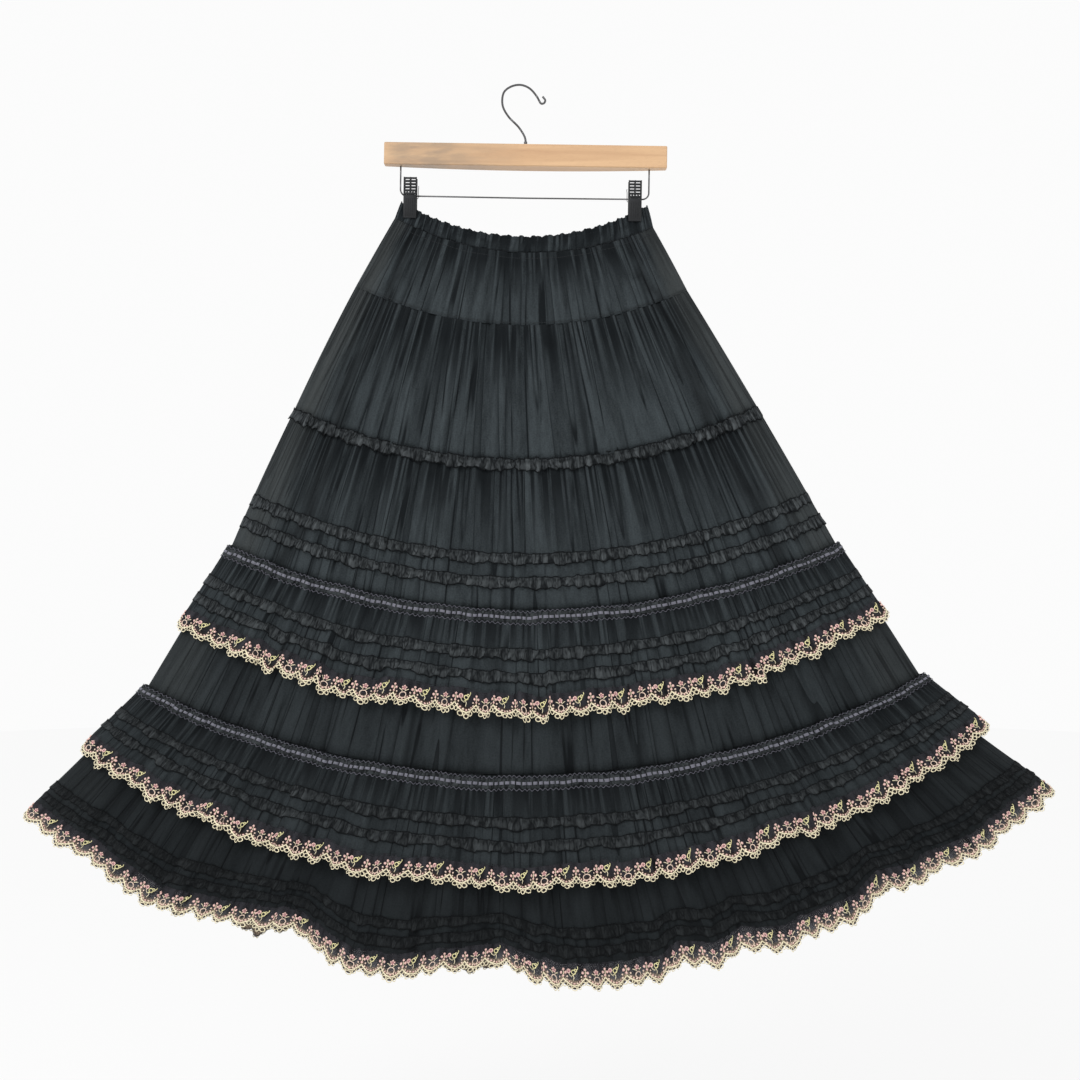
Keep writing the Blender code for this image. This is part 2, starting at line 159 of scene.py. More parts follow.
UPPER_HEM = Ring(829, 823, 838, 29.6, 32.1, 36.0, 0.50, 7.5)
UPPER_EDGE = Ring(858, 856, 867, 29.8, 32.3, 38.0, 0.50, 8.5)
LOWER_TOP = Ring(937.5, 924.5, 946.5, 29.60, 32.15, 31.6, 0.50, 0.8)
LOWER_HEM = Ring(1022, 1031, 1023, 31.0, 33.7, 46.0, 0.50, 8.5)
LOWER_EDGE = Ring(1052, 1063, 1054, 31.3, 34.0, 48.0, 0.50, 9.5)

PANELS = {
    "waistband": Panel(WAIST_TOP, WAIST_SEAM, 8, 0.5, (
        Gathers(44, 2.6, 1.0, 0.8), Gathers(23, 1.6, 0.6, 1.0)), 620, 10),
    "tier_1": Panel(WAIST_SEAM, YOKE_SEAM, 6, 3.0, (
        Gathers(19, 5.6, 0.7, 0.35), Gathers(46, 3.0, 1.0, 0.3, 0.7)), 580, 14),
    "tier_2": Panel(YOKE_SEAM, FRILL_SEAM, 7, 5.0, (
        Gathers(25, 7.0, 0.3, 0.6), Gathers(58, 3.4, 1.0, 0.25, 0.6)), 740, 16),
    "tier_3": Panel(FRILL_SEAM, LADDER_1, 8, 4.6, (
        Gathers(25, 8.0, 0.4, 0.5), Gathers(60, 3.6, 1.0, 0.25, 0.6)), 780, 17),
    "tier_4": Panel(LADDER_1, LADDER_2, 8, 4.2, (
        Gathers(31, 7.0, 0.4, 0.5), Gathers(66, 3.0, 1.0, 0.25, 0.5)), 720, 14),
    "tier_5": Panel(LADDER_2, HEM, 13, 6.0, (
        Gathers(37, 7.0, 0.5, 0.8), Gathers(80, 3.0, 1.0, 0.3, 0.5)), 960, 17, UNDER_FLOUNCE),
    "flounce_upper": Panel(UPPER_TOP, UPPER_HEM, 10, 4.6, (
        Gathers(33, 6.4, 0.35, 0.6), Gathers(58, 5.4, 1.0, 0.3, 0.75)), 980, 13),
    "flounce_lower": Panel(LOWER_TOP, LOWER_HEM, 11, 5.0, (
        Gathers(40, 6.4, 0.35, 0.6), Gathers(74, 5.4, 1.0, 0.3, 0.75)), 1220, 13),
}

HEM_ANGLES = (
    -32.0, -27.0, -24.5, -22.0, -19.8, -18.4, -16.0, -13.3, -12.0, -9.5, -7.0, -4.8, -1.0,
    2.5, 8.5, 9.9, 12.0, 13.6, 16.4, 18.5, 21.0, 22.8, 25.2, 29.0, 33.6,
)
HEM_DROPS = (
    -8, -9, 1, 5, -9, -4, -17, -22, -8, 13, 8, -8, -17,
    12, 13, -2, 10, -6, 14, 5, 4, -12, -3, -3, -6,
)


def across(place: Array) -> Array:
    """The share t, from -1 to 1, of a place from 0 to 1 across the front or the back.

    Args:
        place: Places across the wall, from 0 to 1.

    Returns:
        The same places as t, closer together near the side edges.
    """
    return (1 - EDGE_SPREAD) * (2 * place - 1) - EDGE_SPREAD * np.cos(np.pi * place)


def wobble(value: Array, seed: float) -> Array:
    """A smooth uneven wave between about -1 and 1, for widths, rises and drifts.

    Args:
        value: Where along the wave.
        seed: A number that makes the wave its own.

    Returns:
        The wave's height there.
    """
    return (
        0.50 * np.sin(1.00 * value + 3.1 * seed)
        + 0.31 * np.sin(2.27 * value + 1.7 * seed + 0.6)
        + 0.19 * np.sin(4.61 * value + 5.3 * seed + 2.1)
    )


def ramp(value: Array, start: float, end: float) -> Array:
    """A smooth step from 0 at start to 1 at end.

    Args:
        value: The values to step.
        start: Where the step begins.
        end: Where it is complete.

    Returns:
        The stepped values.
    """
    share = np.clip((value - start) / (end - start), 0.0, 1.0)
    return share * share * (3 - 2 * share)


def main_folds(count: int, seed: float, place: Array) -> Array:
    """The heights, 0 to 1, of the solid's own folds at places across one side.

    Args:
        count: The number of folds.
        seed: The side's own number.
        place: Places across the side, from 0 to 1.

    Returns:
        The heights there.
    """
    k = np.arange(count)
    widths = 1.0 + 0.32 * np.sin(2.4 * k + seed) + 0.18 * np.sin(5.1 * k + 2 * seed)
    starts = np.concatenate([[0.0], np.cumsum(widths) / widths.sum()])
    rises = 0.78 + 0.22 * np.sin(1.9 * k + 3 * seed)
    which = np.clip(np.searchsorted(starts, place, side="left") - 1, 0, count - 1)
    share = (place - starts[which]) / (starts[which + 1] - starts[which])
    return rises[which] * (0.5 - 0.5 * np.cos(2 * np.pi * share))


def gather_height(gathers: Gathers, place: Array, share: Array, seed: float) -> Array:
    """The heights in mm of small gathers: round ridges that lean to one side, with narrow valleys between.

    Args:
        gathers: Their number, height and reach.
        place: Places across the side, from 0 to 1.
        share: Shares of the panel's height.
        seed: The side's own number.

    Returns:
        The heights, about zero on average.
    """
    drift = wobble(5.0 * place + 0.5 * share, seed + 0.3) * 0.55
    drift += wobble(17.0 * place + 1.1 * share, seed + 1.9) * 0.45
    phase = place * gathers.count + gathers.wander * drift * 2.2
    index = np.floor(phase)
    part = phase - index
    rise = 0.62 + 0.38 * np.sin(index * 2.399 + seed * 4.0)
    rise = rise * (0.72 + 0.28 * wobble(index * 1.3 + share * 5.0, seed + 0.7))
    lapped = np.where(np.sin(index * 3.1 + seed) > 0.2, part, 1.0 - part) ** 0.6
    ridge = 1.0 - np.abs(2.0 * lapped - 1.0) ** 2.4
    if gathers.run:
        strength = gathers.bottom + (gathers.top - gathers.bottom) * (1 - ramp(share, 0.0, gathers.run))
        reach = 0.75 + 0.5 * np.sin(index * 1.7 + seed)
        strength = strength * (1 - 0.6 * ramp(share, 0.3 * reach, gathers.run + 0.4 * reach))
    else:
        middle = np.sin(np.pi * np.clip(share, 0.0, 1.0)) ** 0.8
        ends = gathers.top + (gathers.bottom - gathers.top) * share
        strength = ends + (1.0 - ends) * middle
    return gathers.depth * strength * (rise * ridge - 0.35)


class Surface:
    """A panel's dressed outer face, sampled closely all round so that trims can lie on it."""

    def __init__(self, name: str, columns: int = 1800, rows: int = 48) -> None:
        """Samples the panel.

        Args:
            name: The panel's name.
            columns: Samples all round.
            rows: Samples down its height, with one step more below its bottom edge.
        """
        self.name = name
        self.panel = PANELS[name]
        self.seed = 0.7 + 1.3 * list(PANELS).index(name)
        self.turns = np.linspace(0.0, 2.0, columns + 1)
        self.shares = np.linspace(0.0, 1.0, rows + 1)
        turn, share = np.meshgrid(self.turns, self.shares)
        self.points = self.place(turn, share)
        self.points[:, -1] = self.points[:, 0]
        self.normals = self.face_normals()
        steps = np.linalg.norm(np.diff(self.points, axis=1), axis=2)
        self.arcs = np.concatenate([np.zeros((rows + 1, 1)), np.cumsum(steps, axis=1)], axis=1)
        drops = np.linalg.norm(np.diff(self.points, axis=0), axis=2)
        self.height = float(drops.sum(axis=0).mean())

    def place(self, turn: Array, share: Array) -> Array:
        """The points on the panel's outer face.

        Args:
            turn: Turns from 0 to 2.
            share: Shares from 0 to 1.

        Returns:
            The points in mm.
        """
        panel = self.panel
        back = turn > 1.0
        place = np.where(back, 2.0 - turn, turn)
        side = np.where(back, 1.0, -1.0)
        t = across(place)
        top, bottom = panel.top.values(), panel.bottom.values()
        middle = panel.middle.values() if panel.middle else (top + bottom) / 2
        left, mid, right, angle_left, angle_right, depth, bend, _, drop = (
            np.interp(share, (0.0, 0.5, 1.0), (a, b, c)) for a, b, c in zip(top, middle, bottom)
        )
        swell = panel.middle.fold if panel.middle else panel.swell
        fold = self.bowed(share, panel.top.fold, swell, panel.bottom.fold)
        angle = -angle_left + (angle_left + angle_right) * (t + 1) / 2
        radius = mid + (right - left) / 2 * t + ((left + right) / 2 - mid) * t * t
        radius = radius + drop * np.interp(-side * angle, HEM_ANGLES, HEM_DROPS)
        radius = radius + self.shifted(place, share, side)
        edge = 1.0 - np.abs(t)
        fade = np.minimum(1.0, FOLD_FADE * edge)
        folds = np.where(
            back,
            main_folds(panel.folds, self.seed + BACK_SEED, place),
            main_folds(panel.folds, self.seed, place),
        )
        depth = depth * np.maximum(0.0, 1 - t * t) ** bend + fold * fade * folds
        depth = depth + (SEAM_GAP / 2 + CLOTH_WALL + SEAM_GAP) * np.minimum(1.0, edge / EDGE_TURN)
        depth = depth + self.relief(place, share, side) * np.minimum(1.0, 9.0 * edge)
        turned = np.radians(angle)
        return np.stack([
            FAN_X + radius * np.sin(turned), side * depth, FAN_Z - radius * np.cos(turned)
        ], axis=-1)

    @staticmethod
    def bowed(share: Array, first: float, middle: float, last: float) -> Array:
        """A curve through three heights at shares 0, a half and 1.

        Args:
            share: Where on the curve.
            first: The height at 0.
            middle: The height at a half.
            last: The height at 1.

        Returns:
            The curve's heights.
        """
        return first + (last - first) * share + (4 * middle - 2 * first - 2 * last) * share * (1 - share)

    def relief(self, place: Array, share: Array, side: Array) -> Array:
        """How far the small gathers stand off the panel's form, in mm.

        Args:
            place: Places across the side.
            share: Shares of the height.
            side: -1 on the front and 1 on the back.

        Returns:
            The heights.
        """
        total = np.zeros_like(place)
        for index, gathers in enumerate(self.panel.gathers):
            front = gather_height(gathers, place, share, self.seed + NEXT_SEED * index)
            back = gather_height(gathers, place, share, self.seed + NEXT_SEED * index + BACK_SEED)
            total = total + np.where(side < 0, front, back)
        return total

    def painted_light(self, turn: Array, share: Array) -> Array:
        """Painted light on the gathers: how high a point lies on them, from 0 in their valleys, painted darkest, to 1
        on their crests, painted lightest.

        Args:
            turn: Turns from 0 to 2.
            share: Shares from 0 to 1.

        Returns:
            The painted light levels.
        """
        back = turn > 1.0
        place = np.where(back, 2.0 - turn, turn)
        lit = np.ones_like(place)
        for index, (gathers, depth) in enumerate(zip(self.panel.gathers, (0.50, 0.80))):
            seed = self.seed + NEXT_SEED * index
            front_height = gather_height(gathers, place, share, seed)
            height = np.where(back, gather_height(gathers, place, share, seed + BACK_SEED), front_height)
            lit = lit * (1 - depth * ramp(-height / gathers.depth, -0.06, 0.28))
        return lit

    def shifted(self, place: Array, share: Array, side: Array) -> Array:
        """How much further down a point lies than its ring says, in mm. Plain panels have none."""
        return np.zeros_like(place)

    def face_normals(self) -> Array:
        """The outward normals of the sampled points, from their neighbours."""
        points = self.points
        along = np.empty_like(points)
        along[:, 1:-1] = points[:, 2:] - points[:, :-2]
        along[:, 0] = along[:, -1] = points[:, 1] - points[:, -2]
        down = np.gradient(points, axis=0)
        normals = np.cross(down, along)
        normals /= np.maximum(np.linalg.norm(normals, axis=2, keepdims=True), 1e-9)
        return normals

    def at(self, turn: Array, share: Array, lift: Array | float = 0.0) -> Array:
        """Points on the sampled face, moved off it along its normals.

        Args:
            turn: Turns from 0 to 2.
            share: Shares, which may run a little past 0 and 1.
            lift: How far off the face, in mm.

        Returns:
            The points in mm.
        """
        column = np.mod(turn, 2.0) / 2.0 * (len(self.turns) - 1)
        row = share * (len(self.shares) - 1)
        i = np.clip(np.floor(column).astype(int), 0, len(self.turns) - 2)
        j = np.clip(np.floor(row).astype(int), 0, len(self.shares) - 2)
        x = (column - i)[..., None]
        y = (row - j)[..., None]

        def mixed(grid: Array) -> Array:
            """The grid's value between its four nearest samples."""
            upper = grid[j, i] * (1 - x) + grid[j, i + 1] * x
            lower = grid[j + 1, i] * (1 - x) + grid[j + 1, i + 1] * x
            return upper * (1 - y) + lower * y

        normal = mixed(self.normals)
        normal /= np.maximum(np.linalg.norm(normal, axis=-1, keepdims=True), 1e-9)
        return mixed(self.points) + normal * np.asarray(lift, dtype=float)[..., None]

    def length(self, share: float) -> float:
        """The way round the panel at a share of its height, in mm."""
        return float(self.arcs[round(share * (len(self.shares) - 1)), -1])

    def turn_at(self, distance: Array, share: float) -> Array:
        """The turns that lie that far round the panel at a share of its height."""
        arc = self.arcs[round(share * (len(self.shares) - 1))]
        return np.interp(distance, arc, self.turns)


class Flounce(Surface):
    """A gathered flounce or hem tier, whose lower edge hangs in small uneven swags."""

    def shifted(self, place: Array, share: Array, side: Array) -> Array:
        """How much further down a point lies than its ring says, in mm."""
        fade = np.minimum(1.0, 6.0 * np.minimum(place, 1.0 - place))
        uneven = np.where(side < 0, self.swags(place, 4.0), self.swags(place, 6.5))
        return uneven * share * share * fade

    def swags(self, place: Array, seed: float) -> Array:
        """The lower edge's unevenness: slow swags, broken by small steps where a fold laps the next."""
        phase = 11.0 * place + 1.6 * wobble(9.0 * place, self.seed + seed)
        part = phase - np.floor(phase)
        height = 0.6 + 0.4 * np.sin(np.floor(phase) * 2.4 + self.seed)
        step = np.where(part < 0.93, part / 0.93 - 0.5, 0.5 - (part - 0.93) / 0.07)
        return 3.6 * wobble(26.0 * place, self.seed + seed) + 7.0 * height * step


class Casing(Surface):
    """The waistband: a small ruffled heading above a padded casing with a stitched lower edge."""

    def shifted(self, place: Array, share: Array, side: Array) -> Array:
        """How much further down a point lies than its ring says, in mm."""
        front = wobble(150.0 * place, self.seed)
        back = wobble(150.0 * place, self.seed + 2.0)
        return -1.7 * np.where(side < 0, front, back) * (1 - ramp(share, 0.0, 0.3))

    def relief(self, place: Array, share: Array, side: Array) -> Array:
        """How far the scrunched cloth stands off the panel's form, in mm."""
        pinch = np.exp(-((share - 0.24) / 0.05) ** 2) + np.exp(-((share - 0.97) / 0.06) ** 2)
        puff = 1.5 * np.sin(np.pi * np.clip((share - 0.24) / 0.73, 0.0, 1.0)) ** 0.6
        return super().relief(place, share, side) * (1 - 0.65 * pinch) + puff - 1.1 * pinch


class Shaders:
    """Small helpers that build node trees."""

    def __init__(self, tree: bpy.types.NodeTree) -> None:
        """Keeps the tree that the nodes are added to."""
        self.tree = tree

    def node(self, kind: str, values: dict[str | int, object] | None = None, **settings: object) -> bpy.types.Node:
        """Adds a node.

        Args:
            kind: The node's type, without the ShaderNode at its front.
            values: Its inputs, each a plain value or a socket to link from.
            settings: Its own properties.

        Returns:
            The node.
        """
        made = self.tree.nodes.new(kind if kind.startswith("Node") else "ShaderNode" + kind)
        for name, value in settings.items():
            setattr(made, name, value)
        for name, value in (values or {}).items():
            if isinstance(value, bpy.types.NodeSocket):
                self.tree.links.new(value, made.inputs[name])
            else:
                made.inputs[name].default_value = value
        return made

    def math(self, operation: str, *values: object) -> bpy.types.NodeSocket:
        """One step of arithmetic, whose inputs are numbers or sockets."""
        return self.node("Math", dict(enumerate(values)), operation=operation).outputs[0]

    def scaled(self, vector: bpy.types.NodeSocket, *scale: float) -> bpy.types.NodeSocket:
        """The vector with each axis multiplied."""
        return self.node("Mapping", {"Vector": vector, "Scale": scale}).outputs[0]

    def ranged(
        self, value: bpy.types.NodeSocket, low: float, high: float, start: float = 0.0, end: float = 1.0,
    ) -> bpy.types.NodeSocket:
        """A value moved from the range low to high into start to end, and held there."""
        return self.node("MapRange", {"Value": value, 1: low, 2: high, 3: start, 4: end}).outputs[0]

    def attribute(self, name: str) -> bpy.types.NodeSocket:
        """A number that each vertex of the piece has."""
        return self.node("Attribute", attribute_name=name).outputs["Fac"]

    def noise(self, vector: bpy.types.NodeSocket, scale: float, detail: float = 2.0) -> bpy.types.NodeSocket:
        """Noise from 0 to 1."""
        made = self.node("TexNoise", {"Vector": vector, "Scale": scale, "Detail": detail})
        return made.outputs["Fac"]

    def mixed(self, share: object, first: object, second: object) -> bpy.types.NodeSocket:
        """A colour between two."""
        made = self.tree.nodes.new("ShaderNodeMix")
        made.data_type = "RGBA"
        for socket, value in ((made.inputs[0], share), (made.inputs[6], first), (made.inputs[7], second)):
            if isinstance(value, bpy.types.NodeSocket):
                self.tree.links.new(value, socket)
            else:
                socket.default_value = value
        return made.outputs[2]


def new_group(name: str, inputs: dict[str, float], outputs: tuple[str, ...]) -> bpy.types.NodeTree:
    """An empty shader group whose first input is a vector.

    Args:
        name: The group's name.
        inputs: Its number inputs with their defaults.
        outputs: Its outputs, all numbers.

    Returns:
        The group.
    """
    group = bpy.data.node_groups.new(name, "ShaderNodeTree")
    group.interface.new_socket("Vector", in_out="INPUT", socket_type="NodeSocketVector")
    for label, value in inputs.items():
        socket = group.interface.new_socket(label, in_out="INPUT", socket_type="NodeSocketFloat")
        socket.default_value = value
    for label in outputs:
        group.interface.new_socket(label, in_out="OUTPUT", socket_type="NodeSocketFloat")
    return group


def build_voile_group() -> bpy.types.NodeTree:
    """The cloth's surface: a fine weave, crinkles that run down it, a tone painted lighter on the crinkles' ridges,
    and a crease mask that darkens the cloth as painted shade.
    """
    group = new_group(
        "voile surface", {"Threads": 900.0, "Crinkle": 1.0, "Gathered": 0.0}, ("Height", "Tone", "Crease"))
    make = Shaders(group)
    source = make.node("NodeGroupInput")
    vector = source.outputs["Vector"]
    threads_each = source.outputs["Threads"]
    scale = make.node("CombineXYZ", {0: threads_each, 1: threads_each, 2: 1.0}).outputs[0]
    weave = make.node("Mapping", {"Vector": vector, "Scale": scale}).outputs[0]
    parts = make.node("SeparateXYZ", {0: weave}).outputs
    warp = make.math("SINE", make.math("MULTIPLY", parts[0], 2 * math.pi))
    weft = make.math("SINE", make.math("MULTIPLY", parts[1], 2 * math.pi))
    threads = make.math("MULTIPLY", warp, weft)
    long_creases = make.noise(make.scaled(vector, 240.0, 38.0, 1.0), 1.0, 3.0)
    fine_creases = make.noise(make.scaled(vector, 620.0, 150.0, 1.0), 1.0, 2.0)
    creases = make.math("ADD", make.math("MULTIPLY", long_creases, 0.7), make.math("MULTIPLY", fine_creases, 0.3))
    patches = make.noise(make.scaled(vector, 30.0, 9.0, 1.0), 1.0, 2.0)

    def line(across: float, down: float, wide: float) -> bpy.types.NodeSocket:
        """Wandering lines that run down the cloth, sharp on a soft shade, from 0 between them to 1."""
        ridge = make.math("SUBTRACT", make.noise(make.scaled(vector, across, down, 1.0), 1.0, 1.0), 0.5)
        off = make.math("ABSOLUTE", ridge)
        sharp = make.ranged(off, wide * 0.12, wide * 0.36, 1.0, 0.0)
        soft = make.ranged(off, 0.0, wide, 0.30, 0.0)
        return make.math("MAXIMUM", sharp, soft)

    # Crease lines for painted shade: scattered folds, lapped folds painted lit up to a sharp dark edge, and gather
    # lines below the top seam.
    some = make.ranged(patches, 0.40, 0.58)
    folded = make.math("MULTIPLY", line(52.0, 1.3, 0.07), some)
    drawn = make.math("MULTIPLY", line(80.0, 1.8, 0.24), source.outputs["Gathered"])
    laid = make.math("FRACT", make.math("MULTIPLY", make.noise(make.scaled(vector, 33.0, 0.6, 1.0), 1.0, 0.6), 4.6))
    laid = make.math("MULTIPLY", make.math("POWER", laid, 7.0), 0.85)
    crease = make.math("MAXIMUM", make.math("MAXIMUM", folded, laid), drawn)
    height = make.math(
        "ADD", make.math("MULTIPLY", creases, source.outputs["Crinkle"]), make.math("MULTIPLY", threads, 0.05)
    )
    height = make.math("SUBTRACT", height, make.math("MULTIPLY", crease, 0.75))
    # The tone follows the crinkles' height, so their ridges are painted lighter, with random patches and a fine grain.
    tone = make.math("ADD", make.math("MULTIPLY", creases, 0.7), make.math("MULTIPLY", patches, 0.2))
    grain = make.noise(make.scaled(vector, 640.0, 480.0, 1.0), 1.0, 1.0)
    tone = make.math("ADD", tone, make.math("MULTIPLY", make.math("SUBTRACT", grain, 0.38), 0.50))
    make.node("NodeGroupOutput", {"Height": height, "Tone": tone, "Crease": crease})
    return group


Colour = tuple[float, float, float, float]


class Finish:
    """A finish with its own material, built once and kept."""

    label = "finish"

    def __init__(self) -> None:
        """Builds the material."""
        self.material = bpy.data.materials.new(self.label)
        self.material.use_nodes = True
        self.make = Shaders(self.material.node_tree)
        self.shader = self.material.node_tree.nodes["Principled BSDF"]
        self.dress()

    def dress(self) -> None:
        """Adds the finish's nodes."""
        raise NotImplementedError

    def set(self, **values: object) -> None:
        """Sets the shader's sockets, with underscores for the spaces in their names."""
        for name, value in values.items():
            socket = self.shader.inputs[name.replace("_", " ")]
            if isinstance(value, bpy.types.NodeSocket):
                self.material.node_tree.links.new(value, socket)
            else:
                socket.default_value = value

    def uv(self) -> bpy.types.NodeSocket:
        """The piece's own map, in metres."""
        return self.make.node("UVMap", uv_map="cloth").outputs[0]

    def object_place(self) -> bpy.types.NodeSocket:
        """Object coordinates, in metres."""
        return self.make.node("TexCoord").outputs["Object"]

    def bump(self, height: bpy.types.NodeSocket, distance: float, strength: float = 1.0) -> bpy.types.NodeSocket:
        """A normal from a height map."""
        made = self.make.node("Bump", {"Height": height, "Distance": distance, "Strength": strength})
        return made.outputs[0]


class Voile(Finish):
    """Crinkled black cotton voile, lighter where one sheer layer shows over another, with painted light on its gather
    crests and painted shade in their valleys and creases.
    """

    label = "black_voile"
    dark: Colour = (0.0035, 0.0050, 0.0062, 1.0)
    light: Colour = (0.0480, 0.0585, 0.0640, 1.0)
    sheer: Colour = (0.050, 0.055, 0.055, 1.0)
    shade: Colour = (0.022, 0.025, 0.026, 1.0)
    deep: Colour = (0.002, 0.0025, 0.003, 1.0)
    crinkle = 0.0016

    def dress(self) -> None:
        """Weave, creases, crinkles, a soft sheen, a paler tone along the side edges, and painted light and shade on
        the gathers and along the creases.
        """
        down = self.make.attribute("down")
        gathered = self.make.ranged(down, 0.15, 0.75, 1.0, 0.0)
        cloth = self.make.node(
            "Group", {"Vector": self.uv(), "Threads": 1400.0, "Crinkle": 1.0, "Gathered": gathered},
            node_tree=bpy.data.node_groups["voile surface"],
        )
        tone = self.make.ranged(cloth.outputs["Tone"], 0.32, 0.68)
        # Painted light and shade: the gathers' crests are painted lighter and their valleys darker.
        painted_light = self.make.attribute("painted_light")
        lit = self.make.math("ADD", self.make.math("MULTIPLY", painted_light, 0.50), self.make.math("MULTIPLY", tone, 0.44))
        # The crease lines darken the colour further, as painted shade.
        lit = self.make.math("MULTIPLY", lit, self.make.math("SUBTRACT", 1.0, self.make.math(
            "MULTIPLY", cloth.outputs["Crease"], 0.94)))
        body = self.make.mixed(lit, self.dark, self.light)
        # Whole panels are darkened by the set amount for their layers, and a deep side fold is darkened as painted
        # shade.
        layers = self.make.attribute("layers")
        deep = self.make.mixed(layers, body, self.deep)
        veil = self.make.attribute("sheer")
        self.set(
            Base_Color=self.make.mixed(veil, deep, self.make.mixed(lit, self.shade, self.sheer)),
            Roughness=self.make.math("ADD", 0.78, self.make.math("MULTIPLY", tone, 0.1)),
            Normal=self.bump(cloth.outputs["Height"], self.crinkle, 0.8),
        )
        self.set(Sheen_Weight=0.03, Sheen_Roughness=0.45, Sheen_Tint=(0.75, 0.82, 0.9, 1.0), Specular_IOR_Level=0.1)


class RawTrim(Voile):
    """The same voile torn into strips, with frayed, fuzzy edges and painted shade along them."""

    label = "raw_voile_strips"
    dark: Colour = (0.003, 0.004, 0.005, 1.0)
    light: Colour = (0.080, 0.090, 0.095, 1.0)

    def dress(self) -> None:
        """Small crumples and pleats all over, painted shade in the pleat lines and along each raw edge, and painted
        shade in the ruffles.
        """
        uv = self.uv()
        fine = self.make.noise(self.make.scaled(uv, 380.0, 170.0, 1.0), 1.0, 3.0)
        coarse = self.make.noise(self.make.scaled(uv, 125.0, 38.0, 1.0), 1.0, 1.0)
        # The pleat lines are painted dark, as painted shade.
        off = self.make.math("ABSOLUTE", self.make.math("SUBTRACT", coarse, 0.5))
        pleat_shade = self.make.ranged(off, 0.008, 0.050, 0.2, 1.0)
        crumple = self.make.math("ADD", self.make.math("MULTIPLY", fine, 0.6), self.make.math("MULTIPLY", coarse, 0.4))
        tone = self.make.ranged(crumple, 0.40, 0.60)
        # Painted shade along both raw edges, with a ragged inner line.
        down = self.make.attribute("down")
        away = self.make.math("ABSOLUTE", self.make.math("SUBTRACT", down, 0.5))
        away = self.make.math("ADD", away, self.make.math("MULTIPLY", self.make.math("SUBTRACT", fine, 0.5), 0.22))
        inside = self.make.ranged(away, 0.46, 0.38)
        painted_light = self.make.attribute("painted_light")
        lit = self.make.math("ADD", self.make.math("MULTIPLY", painted_light, 0.6), self.make.math("MULTIPLY", tone, 0.4))
        lit = self.make.math("MULTIPLY", self.make.math("MULTIPLY", lit, inside), pleat_shade)
        body = self.make.mixed(lit, self.dark, self.light)
        layers = self.make.attribute("layers")
        self.set(
            Base_Color=self.make.mixed(layers, body, self.deep), Roughness=0.85,
            Normal=self.bump(crumple, 0.0030, 1.0),
        )
        self.set(Sheen_Weight=0.03, Sheen_Roughness=0.45, Specular_IOR_Level=0.1)


class Satin(Finish):
    """Slate satin ribbon."""

    label = "slate_ribbon"

    def dress(self) -> None:
        """A fine ripple in colour and surface."""
        tone = self.make.noise(self.make.scaled(self.object_place(), 300.0, 300.0, 300.0), 1.0)
        self.set(
            Base_Color=self.make.mixed(tone, (0.062, 0.063, 0.082, 1.0), (0.145, 0.145, 0.182, 1.0)),
            Roughness=0.5, Normal=self.bump(tone, 0.0003, 0.4), Sheen_Weight=0.2,
        )


class LaceThread(Finish):
    """Dark cotton thread of the ladder lace and its looped edges."""

    label = "dark_lace_thread"
    dark: Colour = (0.050, 0.050, 0.062, 1.0)
    light: Colour = (0.115, 0.116, 0.138, 1.0)

    def dress(self) -> None:
        """A twisted thread's fine ripple."""
        tone = self.make.noise(self.make.scaled(self.object_place(), 900.0, 900.0, 900.0), 1.0)
        self.set(
            Base_Color=self.make.mixed(tone, self.dark, self.light), Roughness=0.8,
            Normal=self.bump(tone, 0.0003, 0.5), Specular_IOR_Level=0.1,
        )


class SeamThread(LaceThread):
    """Black sewing thread of the seams."""

    label = "black_seam_thread"
    dark: Colour = (0.006, 0.007, 0.008, 1.0)
    light: Colour = (0.045, 0.049, 0.053, 1.0)


class Embroidery(Finish):
    """Stitched rayon thread, in the colour that the piece's own attribute gives."""

    label = "embroidery_thread"

    def dress(self) -> None:
        """Colour by attribute, darkened in small noise patches as painted shade between the stitches."""
        colour = self.make.node("Attribute", attribute_name="thread").outputs["Color"]
        place = self.make.scaled(self.object_place(), 700.0, 700.0, 700.0)
        tone = self.make.noise(place, 1.0, 2.0)
        shade = self.make.ranged(tone, 0.3, 0.7, 0.62, 1.0)
        tint = self.make.node("CombineColor", {0: shade, 1: shade, 2: shade}).outputs[0]
        product = self.make.node("Mix", data_type="RGBA", blend_type="MULTIPLY")
        product.inputs[0].default_value = 1.0
        self.material.node_tree.links.new(colour, product.inputs[6])
        self.material.node_tree.links.new(tint, product.inputs[7])
        self.set(Base_Color=product.outputs[2], Roughness=0.55, Normal=self.bump(tone, 0.0004, 0.6))
        self.set(Sheen_Weight=0.1, Specular_IOR_Level=0.2)


